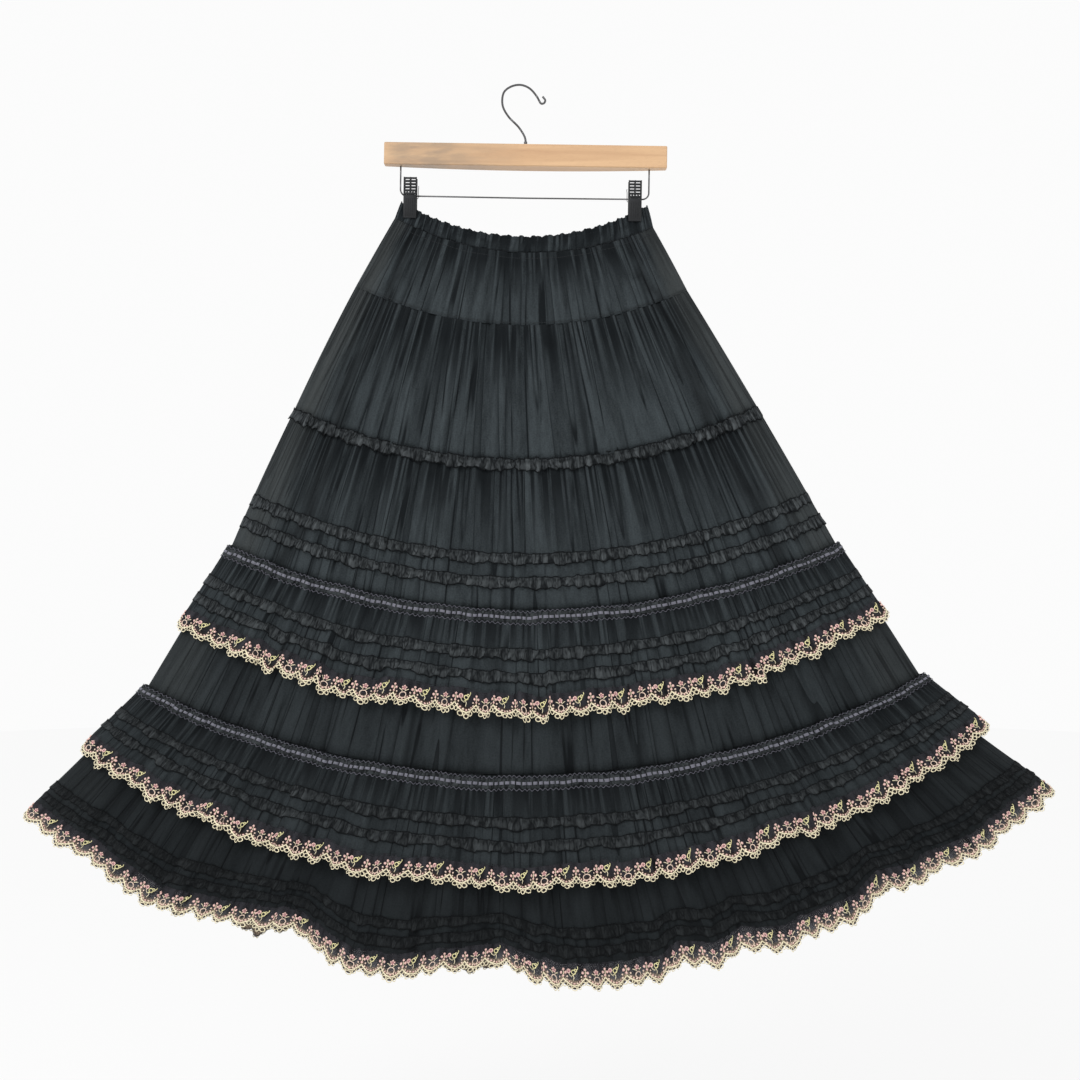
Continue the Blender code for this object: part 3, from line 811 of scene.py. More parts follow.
class LaceGround(Finish):
    """Dark net, stitched over in dull cream along the scallops."""

    label = "stitched_net"

    def dress(self) -> None:
        """Fine net, and the stitched ground of the scallops, where the piece's own attributes say."""
        uv = self.uv()
        parts = self.make.node("SeparateXYZ", {0: uv}).outputs
        cells = self.make.node("TexVoronoi", {"Vector": uv, "Scale": 520.0, "Randomness": 0.45}, feature="F1")
        ring = self.make.ranged(cells.outputs["Distance"], 0.38, 0.62)
        stitched = self.make.attribute("stitched")
        patch = self.make.noise(uv, 190.0, 1.0)
        cream = self.make.mixed(patch, (0.030, 0.018, 0.014, 1.0), (0.15, 0.095, 0.065, 1.0))
        work = self.make.mixed(ring, (0.016, 0.012, 0.012, 1.0), cream)
        drawn = self.make.math("MULTIPLY", self.make.noise(self.make.scaled(uv, 120.0, 14.0, 1.0), 1.0, 1.0), 0.65)
        drawn = self.make.math("ADD", drawn, self.make.math("MULTIPLY", self.make.noise(uv, 900.0, 1.0), 0.35))
        shown = self.make.ranged(drawn, 0.34, 0.64)
        net = self.make.mixed(shown, (0.006, 0.006, 0.007, 1.0), (0.038, 0.038, 0.044, 1.0))
        clear = self.make.attribute("clear")
        work = self.make.mixed(
            clear, work, self.make.mixed(ring, (0.085, 0.065, 0.052, 1.0), (0.42, 0.33, 0.24, 1.0)))
        net = self.make.mixed(
            clear, net, self.make.mixed(shown, (0.020, 0.020, 0.022, 1.0), (0.078, 0.078, 0.086, 1.0)))
        mesh_x = self.make.math("ABSOLUTE", self.make.math("SINE", self.make.math("MULTIPLY", parts[0], 2200.0)))
        mesh_y = self.make.math("ABSOLUTE", self.make.math("SINE", self.make.math("MULTIPLY", parts[1], 2200.0)))
        threads = self.make.math("MINIMUM", mesh_x, mesh_y)
        solid = self.make.math("LESS_THAN", threads, 0.975)
        self.set(
            Base_Color=self.make.mixed(stitched, net, work), Roughness=0.8,
            Alpha=self.make.math("MAXIMUM", solid, stitched),
            Normal=self.bump(ring, 0.0006, 0.7), Specular_IOR_Level=0.05,
        )


class Wood(Finish):
    """Light wood with soft, darker slanting grain on the left, under satin lacquer."""

    label = "light_wood"

    def dress(self) -> None:
        """Long wavy grain, pores and a darker patch."""
        place = self.object_place()
        turned = self.make.node("Mapping", {
            "Vector": place, "Rotation": (0.0, math.radians(-4.0), 0.0), "Scale": (5.0, 40.0, 95.0)}).outputs[0]
        bands = self.make.node("TexNoise", {"Vector": turned, "Scale": 1.0, "Detail": 4.0, "Distortion": 0.6})
        pores = self.make.noise(self.make.scaled(place, 130.0, 900.0, 2600.0), 1.0, 2.0)
        slant = self.make.node("Mapping", {
            "Vector": place, "Rotation": (0.0, math.radians(32.0), 0.0), "Scale": (34.0, 20.0, 150.0)}).outputs[0]
        streaks = self.make.noise(slant, 1.0, 4.0)
        parts = self.make.node("SeparateXYZ", {0: place}).outputs
        reach = self.make.ranged(parts[0], -0.10, 0.01, 1.0, 0.0)
        start = self.make.ranged(parts[0], -0.172, -0.15)
        dark = self.make.ranged(streaks, 0.38, 0.58)
        broad = self.make.math("ADD", 0.5, self.make.math("MULTIPLY", dark, 0.5))
        patch = self.make.math("MULTIPLY", self.make.math("MULTIPLY", reach, start), broad)
        tone = self.make.ranged(bands.outputs["Fac"], 0.3, 0.7)
        light = self.make.mixed(tone, (0.47, 0.28, 0.15, 1.0), (0.62, 0.40, 0.22, 1.0))
        grained = self.make.mixed(self.make.math("MULTIPLY", patch, 0.72), light, (0.25, 0.185, 0.13, 1.0))
        fine = self.make.ranged(pores, 0.55, 0.75, 0.0, 0.35)
        self.set(
            Base_Color=self.make.mixed(fine, grained, (0.33, 0.19, 0.10, 1.0)), Roughness=0.5,
            Normal=self.bump(pores, 0.0002, 0.3), Coat_Weight=0.12, Coat_Roughness=0.3,
        )


class Wire(Finish):
    """Dark plated steel wire, scuffed a little."""

    label = "dark_steel_wire"

    def dress(self) -> None:
        """Fine scuffs in colour and roughness."""
        scuffs = self.make.noise(self.object_place(), 700.0, 3.0)
        self.set(
            Base_Color=self.make.mixed(scuffs, (0.06, 0.06, 0.062, 1.0), (0.17, 0.17, 0.175, 1.0)), Metallic=1.0,
            Roughness=self.make.ranged(scuffs, 0.3, 0.7, 0.28, 0.5),
            Normal=self.bump(scuffs, 0.0001, 0.3),
        )


class Moulding(Finish):
    """Black moulded plastic with a fine spark-eroded grain."""

    label = "black_plastic"

    def dress(self) -> None:
        """A fine grain, and paler rubbed patches."""
        grain = self.make.noise(self.object_place(), 1800.0, 1.0)
        rubbed = self.make.noise(self.object_place(), 120.0, 2.0)
        self.set(
            Base_Color=self.make.mixed(rubbed, (0.008, 0.009, 0.010, 1.0), (0.020, 0.021, 0.023, 1.0)),
            Roughness=self.make.ranged(rubbed, 0.3, 0.7, 0.45, 0.62),
            Normal=self.bump(grain, 0.00012, 0.5), Specular_IOR_Level=0.22,
        )


class Finishes:
    """Every finish of the skirt and its hanger."""

    def __init__(self) -> None:
        """Builds the shared surface and then each material once."""
        build_voile_group()
        self.voile = Voile().material
        self.raw = RawTrim().material
        self.satin = Satin().material
        self.thread = LaceThread().material
        self.seam = SeamThread().material
        self.embroidery = Embroidery().material
        self.ground = LaceGround().material
        self.wood = Wood().material
        self.wire = Wire().material
        self.plastic = Moulding().material


def finish_object(name: str, mesh: bpy.types.Mesh, material: bpy.types.Material) -> bpy.types.Object:
    """Links a finished mesh as a piece that rides on the body.

    Args:
        name: The piece's name.
        mesh: Its mesh, in place.
        material: Its finish.

    Returns:
        The object.
    """
    mesh.materials.append(material)
    mesh.shade_smooth()
    piece = bpy.data.objects.new(name, mesh)
    bpy.context.scene.collection.objects.link(piece)
    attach(piece, BODY)
    LOG.info("%s: %d faces", name, len(mesh.polygons))
    return piece


def vertex_places(mesh: bpy.types.Mesh) -> Array:
    """The mesh's vertices as rows of x, y and z."""
    flat = np.empty(len(mesh.vertices) * 3)
    mesh.vertices.foreach_get("co", flat)
    return flat.reshape(-1, 3)


def move_vertices(mesh: bpy.types.Mesh, points: Array) -> None:
    """Moves every vertex to its new point, given in mm."""
    mesh.vertices.foreach_set("co", (points * MM).ravel())
    mesh.update()


def set_attribute(mesh: bpy.types.Mesh, name: str, values: Array) -> None:
    """Gives each vertex a number of its own.

    Args:
        mesh: The mesh.
        name: The attribute's name.
        values: One number for each vertex.
    """
    mesh.attributes.new(name, "FLOAT", "POINT").data.foreach_set("value", np.asarray(values, dtype=float))


def weld(mesh: bpy.types.Mesh) -> None:
    """Joins the vertices that meet at the left side seam."""
    bm = bmesh.new()
    bm.from_mesh(mesh)
    bmesh.ops.remove_doubles(bm, verts=bm.verts, dist=1e-7)
    bm.to_mesh(mesh)
    bm.free()


def cloth_tube(
    name: str, columns: int, rows: int, placer: Placer, length: float, height: float,
    masks: dict[str, Callable[[Array, Array], Array]] | None = None,
) -> bpy.types.Mesh:
    """A grid of cloth bent all round the skirt and closed at its side seam.

    Args:
        name: The mesh's name.
        columns: Faces all round.
        rows: Faces from top to bottom.
        placer: Gives the points, in mm, for turns and shares.
        length: The cloth's length round, in mm, for its map.
        height: The cloth's height, in mm, for its map.
        masks: Attributes, each worked out from turns and shares.

    Returns:
        The mesh, with a map in metres named cloth.
    """
    bm = bmesh.new()
    bmesh.ops.create_grid(bm, x_segments=columns, y_segments=rows, size=1.0)
    bm.loops.layers.uv.new("cloth")
    mesh = bpy.data.meshes.new(name)
    bm.to_mesh(mesh)
    bm.free()
    flat = vertex_places(mesh)
    turn, share = flat[:, 0] + 1.0, (1.0 - flat[:, 1]) / 2.0
    corners = np.empty(len(mesh.loops), dtype=int)
    mesh.loops.foreach_get("vertex_index", corners)
    layer = np.stack([turn * length / 2, -share * height], axis=-1)[corners] * MM
    mesh.uv_layers["cloth"].data.foreach_set("uv", layer.ravel())
    for label, mask in (masks or {}).items():
        set_attribute(mesh, label, mask(turn, share))
    points = placer(turn, share)
    seam = turn > 2.0 - 1e-6
    points[seam] = placer(np.zeros(seam.sum()), share[seam])
    move_vertices(mesh, points)
    weld(mesh)
    return mesh


def thicken(piece: bpy.types.Object, thickness: float) -> None:
    """Gives a sheet a thickness in mm, inwards from its outer face."""
    wall = piece.modifiers.new("thickness", "SOLIDIFY")
    wall.thickness = thickness * MM
    wall.offset = -1.0


def sides(name: str) -> tuple[str, str]:
    """The names of a piece's front and back nodes."""
    return f"{name}_front", f"{name}_back"


@dataclass
class PanelCloth:
    """One tier, flounce or waistband, front and back in one tube."""

    name: str
    surface: Surface
    flat: tuple[float, float]
    thickness: float = 0.7
    sheer: float = 0.0
    layers: float = 0.0
    ungathered: float = 1.0

    def veil(self, turn: Array, share: Array) -> Array:
        """How sheer the cloth looks: most of all in strips near its side edges."""
        place = np.where(turn > 1, 2 - turn, turn)
        near = np.minimum(place, 1 - place) + 0.015 * wobble(6 * share, self.surface.seed)
        return self.sheer * (1 - ramp(near, 0.055, 0.115)) * (0.8 + 0.2 * wobble(40 * place, 2.0))

    def layers_and_fold_shade(self, turn: Array, share: Array) -> Array:
        """How much darker the cloth is made: a set amount for each panel, where more layers lie behind it, and painted
        shade along a deep side fold near each side edge.
        """
        place = np.where(turn > 1, 2 - turn, turn)
        near = np.minimum(place, 1 - place) + 0.018 * wobble(5 * share + 3 * turn, self.surface.seed)
        # Painted shade: a dark band along a deep side fold, on the sheer tiers only.
        fold = 0.62 * np.exp(-(((near - 0.135) / 0.020) ** 2)) * (self.sheer > 0)
        return np.maximum(self.layers, fold * (0.55 + 0.45 * share))

    def way_down(self, turn: Array, share: Array) -> Array:
        """The share down the cloth, from 0 at the seam that it is gathered into."""
        return share * self.ungathered

    def build(self, finishes: Finishes) -> bpy.types.Object:
        """Makes the tube.

        Args:
            finishes: The materials.

        Returns:
            The piece.
        """
        panel = self.surface.panel
        mesh = cloth_tube(
            self.name, panel.columns, panel.rows, self.surface.at,
            self.surface.length(0.5), self.surface.height,
            {"sheer": self.veil, "painted_light": self.surface.painted_light, "layers": self.layers_and_fold_shade, "down": self.way_down},
        )
        piece = finish_object(self.name, mesh, finishes.voile)
        thicken(piece, self.thickness)
        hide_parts(*sides(self.name))
        return piece


@dataclass
class Frill:
    """A narrow gathered strip sewn to a panel along one line, with raw edges that stand off."""

    name: str
    surface: Surface
    start: float
    end: float
    ruffles: int
    stand: float
    seed: float
    thickness: float = 0.5
    columns: int = 820
    rows: int = 4
    stitch: float = 0.3
    ragged: float = 0.10
    swing: float = 0.20
    layers: float = 0.0

    def phase(self, turn: Array) -> Array:
        """Where along its ruffles a turn is."""
        drift = wobble(turn * 31.0, self.seed) * 1.6 + wobble(turn * 9.0, self.seed + 1.0) * 1.3
        return turn * self.ruffles * math.pi + drift

    def ruffle(self, turn: Array) -> Array:
        """The height of the ruffles, about 0 to 1."""
        phase = self.phase(turn)
        return 0.5 + 0.5 * np.sin(phase) + 0.28 * np.sin(2.7 * phase + 1.0) + 0.16 * wobble(turn * 330.0, self.seed)

    def painted_light(self, turn: Array, share: Array) -> Array:
        """Painted light and shade on the strip: palest on its ruffles, darkest along its stitches and over the panel's
        painted valleys below.
        """
        # Painted shade along the stitch line, where the strip is pinched.
        stitched = np.exp(-((share - self.stitch) / 0.12) ** 2)
        under = self.surface.painted_light(turn, np.full_like(turn, (self.start + self.end) / 2))
        return np.clip(self.ruffle(turn) * 0.85 + 0.1, 0.0, 1.0) * (1 - 0.75 * stitched) * (0.3 + 0.7 * under)

    def place(self, turn: Array, share: Array) -> Array:
        """The strip's points: pinched along its stitches, ruffled towards its edges."""
        apart = np.where(
            share > self.stitch, (share - self.stitch) / (1 - self.stitch), (self.stitch - share) / self.stitch * 0.55)
        phase = self.phase(turn)
        ruffle = self.ruffle(turn)
        near = np.minimum(1.0, 14.0 * np.abs(turn - np.round(turn)))
        lift = 0.8 + self.stand * apart * np.clip(ruffle, -0.1, 1.4) * (0.35 + 0.65 * near)
        lean = 0.0016 * apart * np.cos(phase + 0.8)
        ragged = self.ragged * wobble(turn * 420.0, self.seed + 2.2) + self.swing * wobble(turn * 95.0, self.seed)
        depth = self.start + (self.end - self.start) * (share + ragged * apart * np.where(share > self.stitch, 1, -1))
        return self.surface.at(np.clip(turn + lean, 0.0, 2.0), depth, lift)

    def build(self, finishes: Finishes) -> bpy.types.Object:
        """Makes the strip.

        Args:
            finishes: The materials.

        Returns:
            The piece.
        """
        level = (self.start + self.end) / 2
        length = self.surface.length(level)
        height = (self.end - self.start) * self.surface.height
        mesh = cloth_tube(
            self.name, self.columns, self.rows, self.place, 1.3 * length, height,
            {"painted_light": self.painted_light, "down": lambda turn, share: share,
             "layers": lambda turn, share: np.full_like(turn, self.layers)})
        piece = finish_object(self.name, mesh, finishes.raw)
        thicken(piece, self.thickness)
        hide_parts(*sides(self.name))
        return piece


def ring_tube(
    bm: bmesh.types.BMesh, radius: float, wire: float, around: int = 8, section: int = 3,
) -> list[bmesh.types.BMVert]:
    """A small flat ring of thread at the origin, lying in the XZ plane.

    Args:
        bm: Where it is made.
        radius: The ring's radius, in mm.
        wire: The thread's radius, in mm.
        around: Faces round the ring.
        section: Faces round the thread.

    Returns:
        Its vertices.
    """
    known = set(bm.verts)
    made = bmesh.ops.create_circle(bm, segments=section, radius=wire)["verts"]
    bmesh.ops.translate(bm, verts=made, vec=(radius, 0.0, 0.0))
    for vert in made:
        vert.co = (vert.co.x, vert.co.y, 0.0)
    edges = list({edge for vert in made for edge in vert.link_edges})
    bmesh.ops.spin(
        bm, geom=edges, cent=(0, 0, 0), axis=(0, 1, 0), dvec=(0, 0, 0), angle=2 * math.pi,
        steps=around, use_merge=True,
    )
    return [vert for vert in bm.verts if vert not in known]


def dome(bm: bmesh.types.BMesh, radius: float, height: float, petals: int = 6) -> list[bmesh.types.BMVert]:
    """A low padded knot of stitches at the origin, rising towards -Y."""
    made = bmesh.ops.create_cone(
        bm, cap_ends=True, segments=petals, radius1=radius, radius2=radius * 0.5, depth=height,
    )["verts"]
    bmesh.ops.rotate(bm, verts=made, cent=(0, 0, 0), matrix=mathutils.Matrix.Rotation(math.pi / 2, 3, "X"))
    return made


def stem(bm: bmesh.types.BMesh, route: tuple[tuple[float, float], ...], wire: float) -> list[bmesh.types.BMVert]:
    """A thread swept along a route of x and z, in mm.

    Args:
        bm: Where it is made.
        route: The points that it follows.
        wire: Its radius.

    Returns:
        Its vertices.
    """
    known = set(bm.verts)
    ring = bmesh.ops.create_circle(bm, segments=3, radius=wire, cap_ends=True)["verts"]
    face = ring[0].link_faces[0]
    heading = mathutils.Vector((route[1][0] - route[0][0], 0.0, route[1][1] - route[0][1]))
    turn = mathutils.Vector((0, 0, 1)).rotation_difference(heading)
    bmesh.ops.rotate(bm, verts=ring, cent=(0, 0, 0), matrix=turn.to_matrix())
    bmesh.ops.translate(bm, verts=ring, vec=(route[0][0], 0.0, route[0][1]))
    for (x, z), (next_x, next_z) in zip(route, route[1:]):
        step = mathutils.Vector((next_x - x, 0.0, next_z - z))
        made = bmesh.ops.extrude_face_region(bm, geom=[face])["geom"]
        ends = [item for item in made if isinstance(item, bmesh.types.BMVert)]
        bmesh.ops.translate(bm, verts=ends, vec=step)
        turn = heading.rotation_difference(step)
        bmesh.ops.rotate(bm, verts=ends, cent=(next_x, 0.0, next_z), matrix=turn.to_matrix())
        face = next(item for item in made if isinstance(item, bmesh.types.BMFace))
        heading = step
    return [vert for vert in bm.verts if vert not in known]


class Thread(Enum):
    """The embroidery's colours."""

    CREAM = (0.98, 0.88, 0.62)
    GOLD = (0.93, 0.86, 0.46)
    PINK = (0.92, 0.60, 0.54)
    ROSE = (0.80, 0.36, 0.42)
    SHELL = (0.95, 0.74, 0.60)


def scallop_drop(share: Array | float) -> Array | float:
    """How far a scallop's edge hangs below the panel, in mm, at a share of its width."""
    return 20.0 + 8.5 * (1.0 - np.abs(2.0 * share - 1.0) ** 1.7)


@dataclass
class Motif:
    """One repeat of the edging's embroidery: two scallops, drawn flat as x, lift and z in mm."""

    pitch: float = LACE_PITCH
    loops: int = 5
    bm: bmesh.types.BMesh = field(default_factory=bmesh.new)

    def put(self, verts: list[bmesh.types.BMVert], x: float, z: float, colour: Thread, lift: float = 0.0) -> None:
        """Moves new vertices to their place and notes their colour."""
        bmesh.ops.translate(self.bm, verts=verts, vec=(x, -lift, z))
        layer = self.bm.verts.layers.int.get("colour") or self.bm.verts.layers.int.new("colour")
        number = list(Thread).index(colour)
        for vert in verts:
            vert[layer] = number

    def height(self, x: float, above: float = 0.0) -> float:
        """The height of a line that follows the scalloped edge, in mm above it."""
        return above - float(scallop_drop((x / self.pitch) % 1.0))

    def thread(self, route: tuple[tuple[float, float], ...], wire: float, colour: Thread, lift: float) -> None:
        """Lays a thread along a route."""
        self.put(stem(self.bm, route, wire), 0.0, 0.0, colour, lift)

    def build(self) -> bmesh.types.BMesh:
        """Draws every ring, knot, stem and leaf of the repeat.

        Returns:
            The bmesh, with a colour number on each vertex.
        """
        self.bm.verts.layers.int.new("colour")
        for scallop in (0, 1):
            self.border(scallop * self.pitch)
            self.peak(scallop * self.pitch)
        self.flower(self.pitch / 2)
        self.sprig(self.pitch * 1.5)
        return self.bm

    def border(self, left: float) -> None:
        """One scallop's loops, the cord above them and the knots along the cord."""
        for k in range(self.loops):
            x = left + (k + 0.5) / self.loops * self.pitch
            self.put(ring_tube(self.bm, 2.3, 0.6), x, self.height(x, 1.6), Thread.CREAM, 0.4)
        route = tuple(
            (left + share * self.pitch, self.height(left + share * self.pitch, 5.0))
            for share in (0.001, 0.12, 0.25, 0.38, 0.5, 0.62, 0.75, 0.88, 0.999)
        )
        self.thread(route, 0.85, Thread.CREAM, 0.5)
        for k, share in enumerate((0.16, 0.27, 0.38, 0.5, 0.62, 0.73, 0.84)):
            x = left + share * self.pitch
            colour = (Thread.SHELL, Thread.PINK)[k % 2]
            self.put(dome(self.bm, 1.35, 1.2, 5), x, self.height(x, 7.3), colour, 0.8)

    def peak(self, x: float) -> None:
        """The pink petals that stand between two scallops, on a short cream stalk."""
        for across_peak, z, radius in ((0.0, -5.6, 1.7), (-2.6, -9.0, 1.9), (2.6, -9.0, 1.9), (0.0, -12.4, 1.6)):
            self.put(dome(self.bm, radius, 1.3), x + across_peak + 0.01, z, Thread.PINK, 0.8)
        for side in (-1, 1):
            self.put(dome(self.bm, 1.3, 1.2, 5), x + side * 4.4 + 0.01, -13.4, Thread.SHELL, 0.8)
        self.thread(((x, -15.0), (x + 0.3, -7.0)), 0.45, Thread.CREAM, 0.5)

    def flower(self, x: float) -> None:
        """A five-petalled flower and its leaves above a dark oval."""
        self.put(ring_tube(self.bm, 3.5, 0.6, 9), x, -17.0, Thread.SHELL, 0.5)
        for k in range(5):
            turn = math.pi / 2 + 2 * math.pi * k / 5
            petal = dome(self.bm, 1.35, 1.2, 5)
            self.put(petal, x + 2.0 * math.cos(turn), -8.6 + 2.0 * math.sin(turn), Thread.PINK, 0.8)
        self.put(dome(self.bm, 1.0, 1.6, 5), x, -8.6, Thread.ROSE, 0.9)
        for side in (-1, 1):
            leaf = ((x + side * 1.2, -12.6), (x + side * 3.6, -10.6), (x + side * 5.6, -9.8))
            self.thread(leaf, 0.5, Thread.CREAM, 0.4)

    def sprig(self, x: float) -> None:
        """A gold curl with a bud, leaning to the right, beside a small rose on its stem."""
        self.put(ring_tube(self.bm, 2.4, 0.6, 8), x - 0.6, -8.4, Thread.GOLD, 0.6)
        self.put(ring_tube(self.bm, 1.4, 0.5, 7), x + 1.6, -6.2, Thread.GOLD, 0.7)
        curl = ((x - 2.8, -12.6), (x + 0.2, -10.8), (x + 2.6, -7.2), (x + 4.4, -4.0), (x + 4.2, -2.2))
        self.thread(curl, 0.5, Thread.GOLD, 0.6)
        self.thread(((x - 1.0, -17.6), (x - 0.2, -14.2), (x - 1.6, -11.4)), 0.5, Thread.CREAM, 0.4)
        self.thread(((x - 2.4, -13.8), (x - 5.2, -12.0), (x - 6.4, -9.2)), 0.5, Thread.CREAM, 0.5)
        self.put(ring_tube(self.bm, 2.0, 0.8, 7), x - 6.4, -7.4, Thread.PINK, 0.7)
        self.put(dome(self.bm, 1.1, 1.4, 5), x - 6.4, -7.4, Thread.ROSE, 0.8)


@dataclass
class Edging:
    """A scalloped edging along a panel's lower edge: net, and the embroidery on it."""

    name: str
    surface: Surface
    top: Ring
    edge: Ring
    clear: float = 0.0
    rows: int = 8

    def __post_init__(self) -> None:
        """Works out the repeats and the face that hangs below the panel."""
        self.length = self.surface.length(1.0)
        self.repeats = round(self.length / (2 * LACE_PITCH))
        self.stretch = self.length / (self.repeats * 2 * LACE_PITCH)
        self.fall = HangingEdge(self.surface, self.top, self.edge)

    def reach(self, turn: Array) -> Array:
        """The net's height, in mm, at turns round it."""
        share = np.mod(turn / 2 * self.length / (self.stretch * LACE_PITCH), 1.0)
        return scallop_drop(share) + 1.4

    def net_place(self, turn: Array, share: Array) -> Array:
        """The net's points: from just under the panel's edge to the scallops."""
        return self.fall.at(turn / 2 * self.length, -2.0 + share * self.reach(turn), 0.0)

    def stitched(self, turn: Array, share: Array) -> Array:
        """Where the net is stitched over: in a band that follows the scallops."""
        above = (1.0 - share) * self.reach(turn)
        return ramp(above, 2.0, 3.4) * (1 - ramp(above, 7.6, 9.6))

    def build(self, finishes: Finishes) -> list[bpy.types.Object]:
        """Makes the net and its embroidery.

        Args:
            finishes: The materials.

        Returns:
            The net and the embroidery.
        """
        columns = self.repeats * 16
        mesh = cloth_tube(
            self.name, columns, self.rows, self.net_place, self.length, 28.0,
            {"stitched": self.stitched, "clear": lambda turn, share: self.clear * ramp(share, 0.3, 0.6)})
        net = finish_object(self.name, mesh, finishes.ground)
        thicken(net, 0.35)
        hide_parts(*sides(self.name))
        stitches = finish_object(
            f"{self.name}_embroidery", self.stitches(), finishes.embroidery)
        return [net, stitches]

    def stitches(self) -> bpy.types.Mesh:
        """All repeats of the embroidery, bent over the folds."""
        unit = bpy.data.meshes.new("repeat")
        drawn = Motif().build()
        bmesh.ops.triangulate(drawn, faces=[f for f in drawn.faces if len(f.verts) > 4])
        drawn.to_mesh(unit)
        drawn.free()
        bm = bmesh.new()
        for k in range(self.repeats):
            known = len(bm.verts)
            bm.from_mesh(unit)
            bm.verts.ensure_lookup_table()
            bmesh.ops.translate(bm, verts=bm.verts[known:], vec=(k * 2 * LACE_PITCH, 0, 0))
        mesh = bpy.data.meshes.new(f"{self.name}_embroidery")
        bm.to_mesh(mesh)
        bm.free()
        bpy.data.meshes.remove(unit)
        flat = vertex_places(mesh)
        numbers = np.empty(len(mesh.vertices), dtype=int)
        mesh.attributes["colour"].data.foreach_get("value", numbers)
        colours = np.array([(*thread.value, 1.0) for thread in Thread])[numbers]
        mesh.attributes.new("thread", "FLOAT_COLOR", "POINT").data.foreach_set("color", colours.ravel())
        mesh.attributes.remove(mesh.attributes["colour"])
        distance = np.mod(flat[:, 0] * self.stretch, self.length)
        move_vertices(mesh, self.fall.at(distance, -flat[:, 2], -flat[:, 1]))
        return mesh


class HangingEdge:
    """The face that carries on below a panel's lower edge, by distance round it and down it."""

    def __init__(self, surface: Surface, top: Ring, edge: Ring) -> None:
        """Samples the panel's last rows and the ring that the edging reaches.

        Args:
            surface: The panel.
            top: The panel's lowest ring.
            edge: The ring of the edging's tips.
        """
        self.surface = surface
        below = Panel(top, edge, surface.panel.folds, (top.fold + edge.fold) / 2, surface.panel.gathers, 0, 0)
        self.drop = (edge.left + edge.mid + edge.right - top.left - top.mid - top.right) / 3
        self.length = surface.length(1.0)
        self.carry = CarriedOn(surface, below)

    def at(self, distance: Array, down: Array, lift: Array | float) -> Array:
        """Points of the face.

        Args:
            distance: Distances round the panel's lower edge, in mm.
            down: Distances below that edge, or above it if negative, in mm.
            lift: How far off the face, in mm.

        Returns:
            The points in mm.
        """
        seed = self.surface.seed
        loose = np.clip(down / 28.0, 0.0, 1.1) * ramp(self.length / 2 - np.abs(distance - self.length / 2), 2.0, 30.0)
        moved = distance + 3.0 * loose * wobble(distance / 9.0, seed)
        lift = lift + 2.4 * loose * (0.7 + wobble(distance / 7.0, seed + 1.0))
        down = down * (1 + 0.10 * loose * wobble(distance / 15.0, seed + 2.0))
        turn = self.surface.turn_at(np.clip(moved, 0.0, self.length), 1.0)
        inside = self.surface.at(turn, 1.0 + np.minimum(down, 0.0) / self.surface.height, lift)
        below = self.carry.at(turn, np.maximum(down, 0.0) / self.drop, lift)
        return np.where((down < 0)[:, None], inside, below)


class CarriedOn(Surface):
    """The face of a panel carried on below it, with the same folds."""

    def __init__(self, above: Surface, panel: Panel) -> None:
        """Samples the face below.

        Args:
            above: The panel's own face.
            panel: The rings below it.
        """
        self.above = above
        self.panel = panel
        self.seed = above.seed
        self.turns = above.turns
        self.shares = np.linspace(0.0, 1.0, 9)
        turn, share = np.meshgrid(self.turns, self.shares)
        self.points = self.place(turn, share)
        self.points[:, -1] = self.points[:, 0]
        self.normals = self.face_normals()

    def relief(self, place: Array, share: Array, side: Array) -> Array:
        """The gathers at the panel's lower edge, carried straight on."""
        return self.above.relief(place, np.ones_like(share), side)

    def shifted(self, place: Array, share: Array, side: Array) -> Array:
        """The unevenness of the panel's lower edge, carried straight on."""
        return self.above.shifted(place, np.ones_like(share), side)


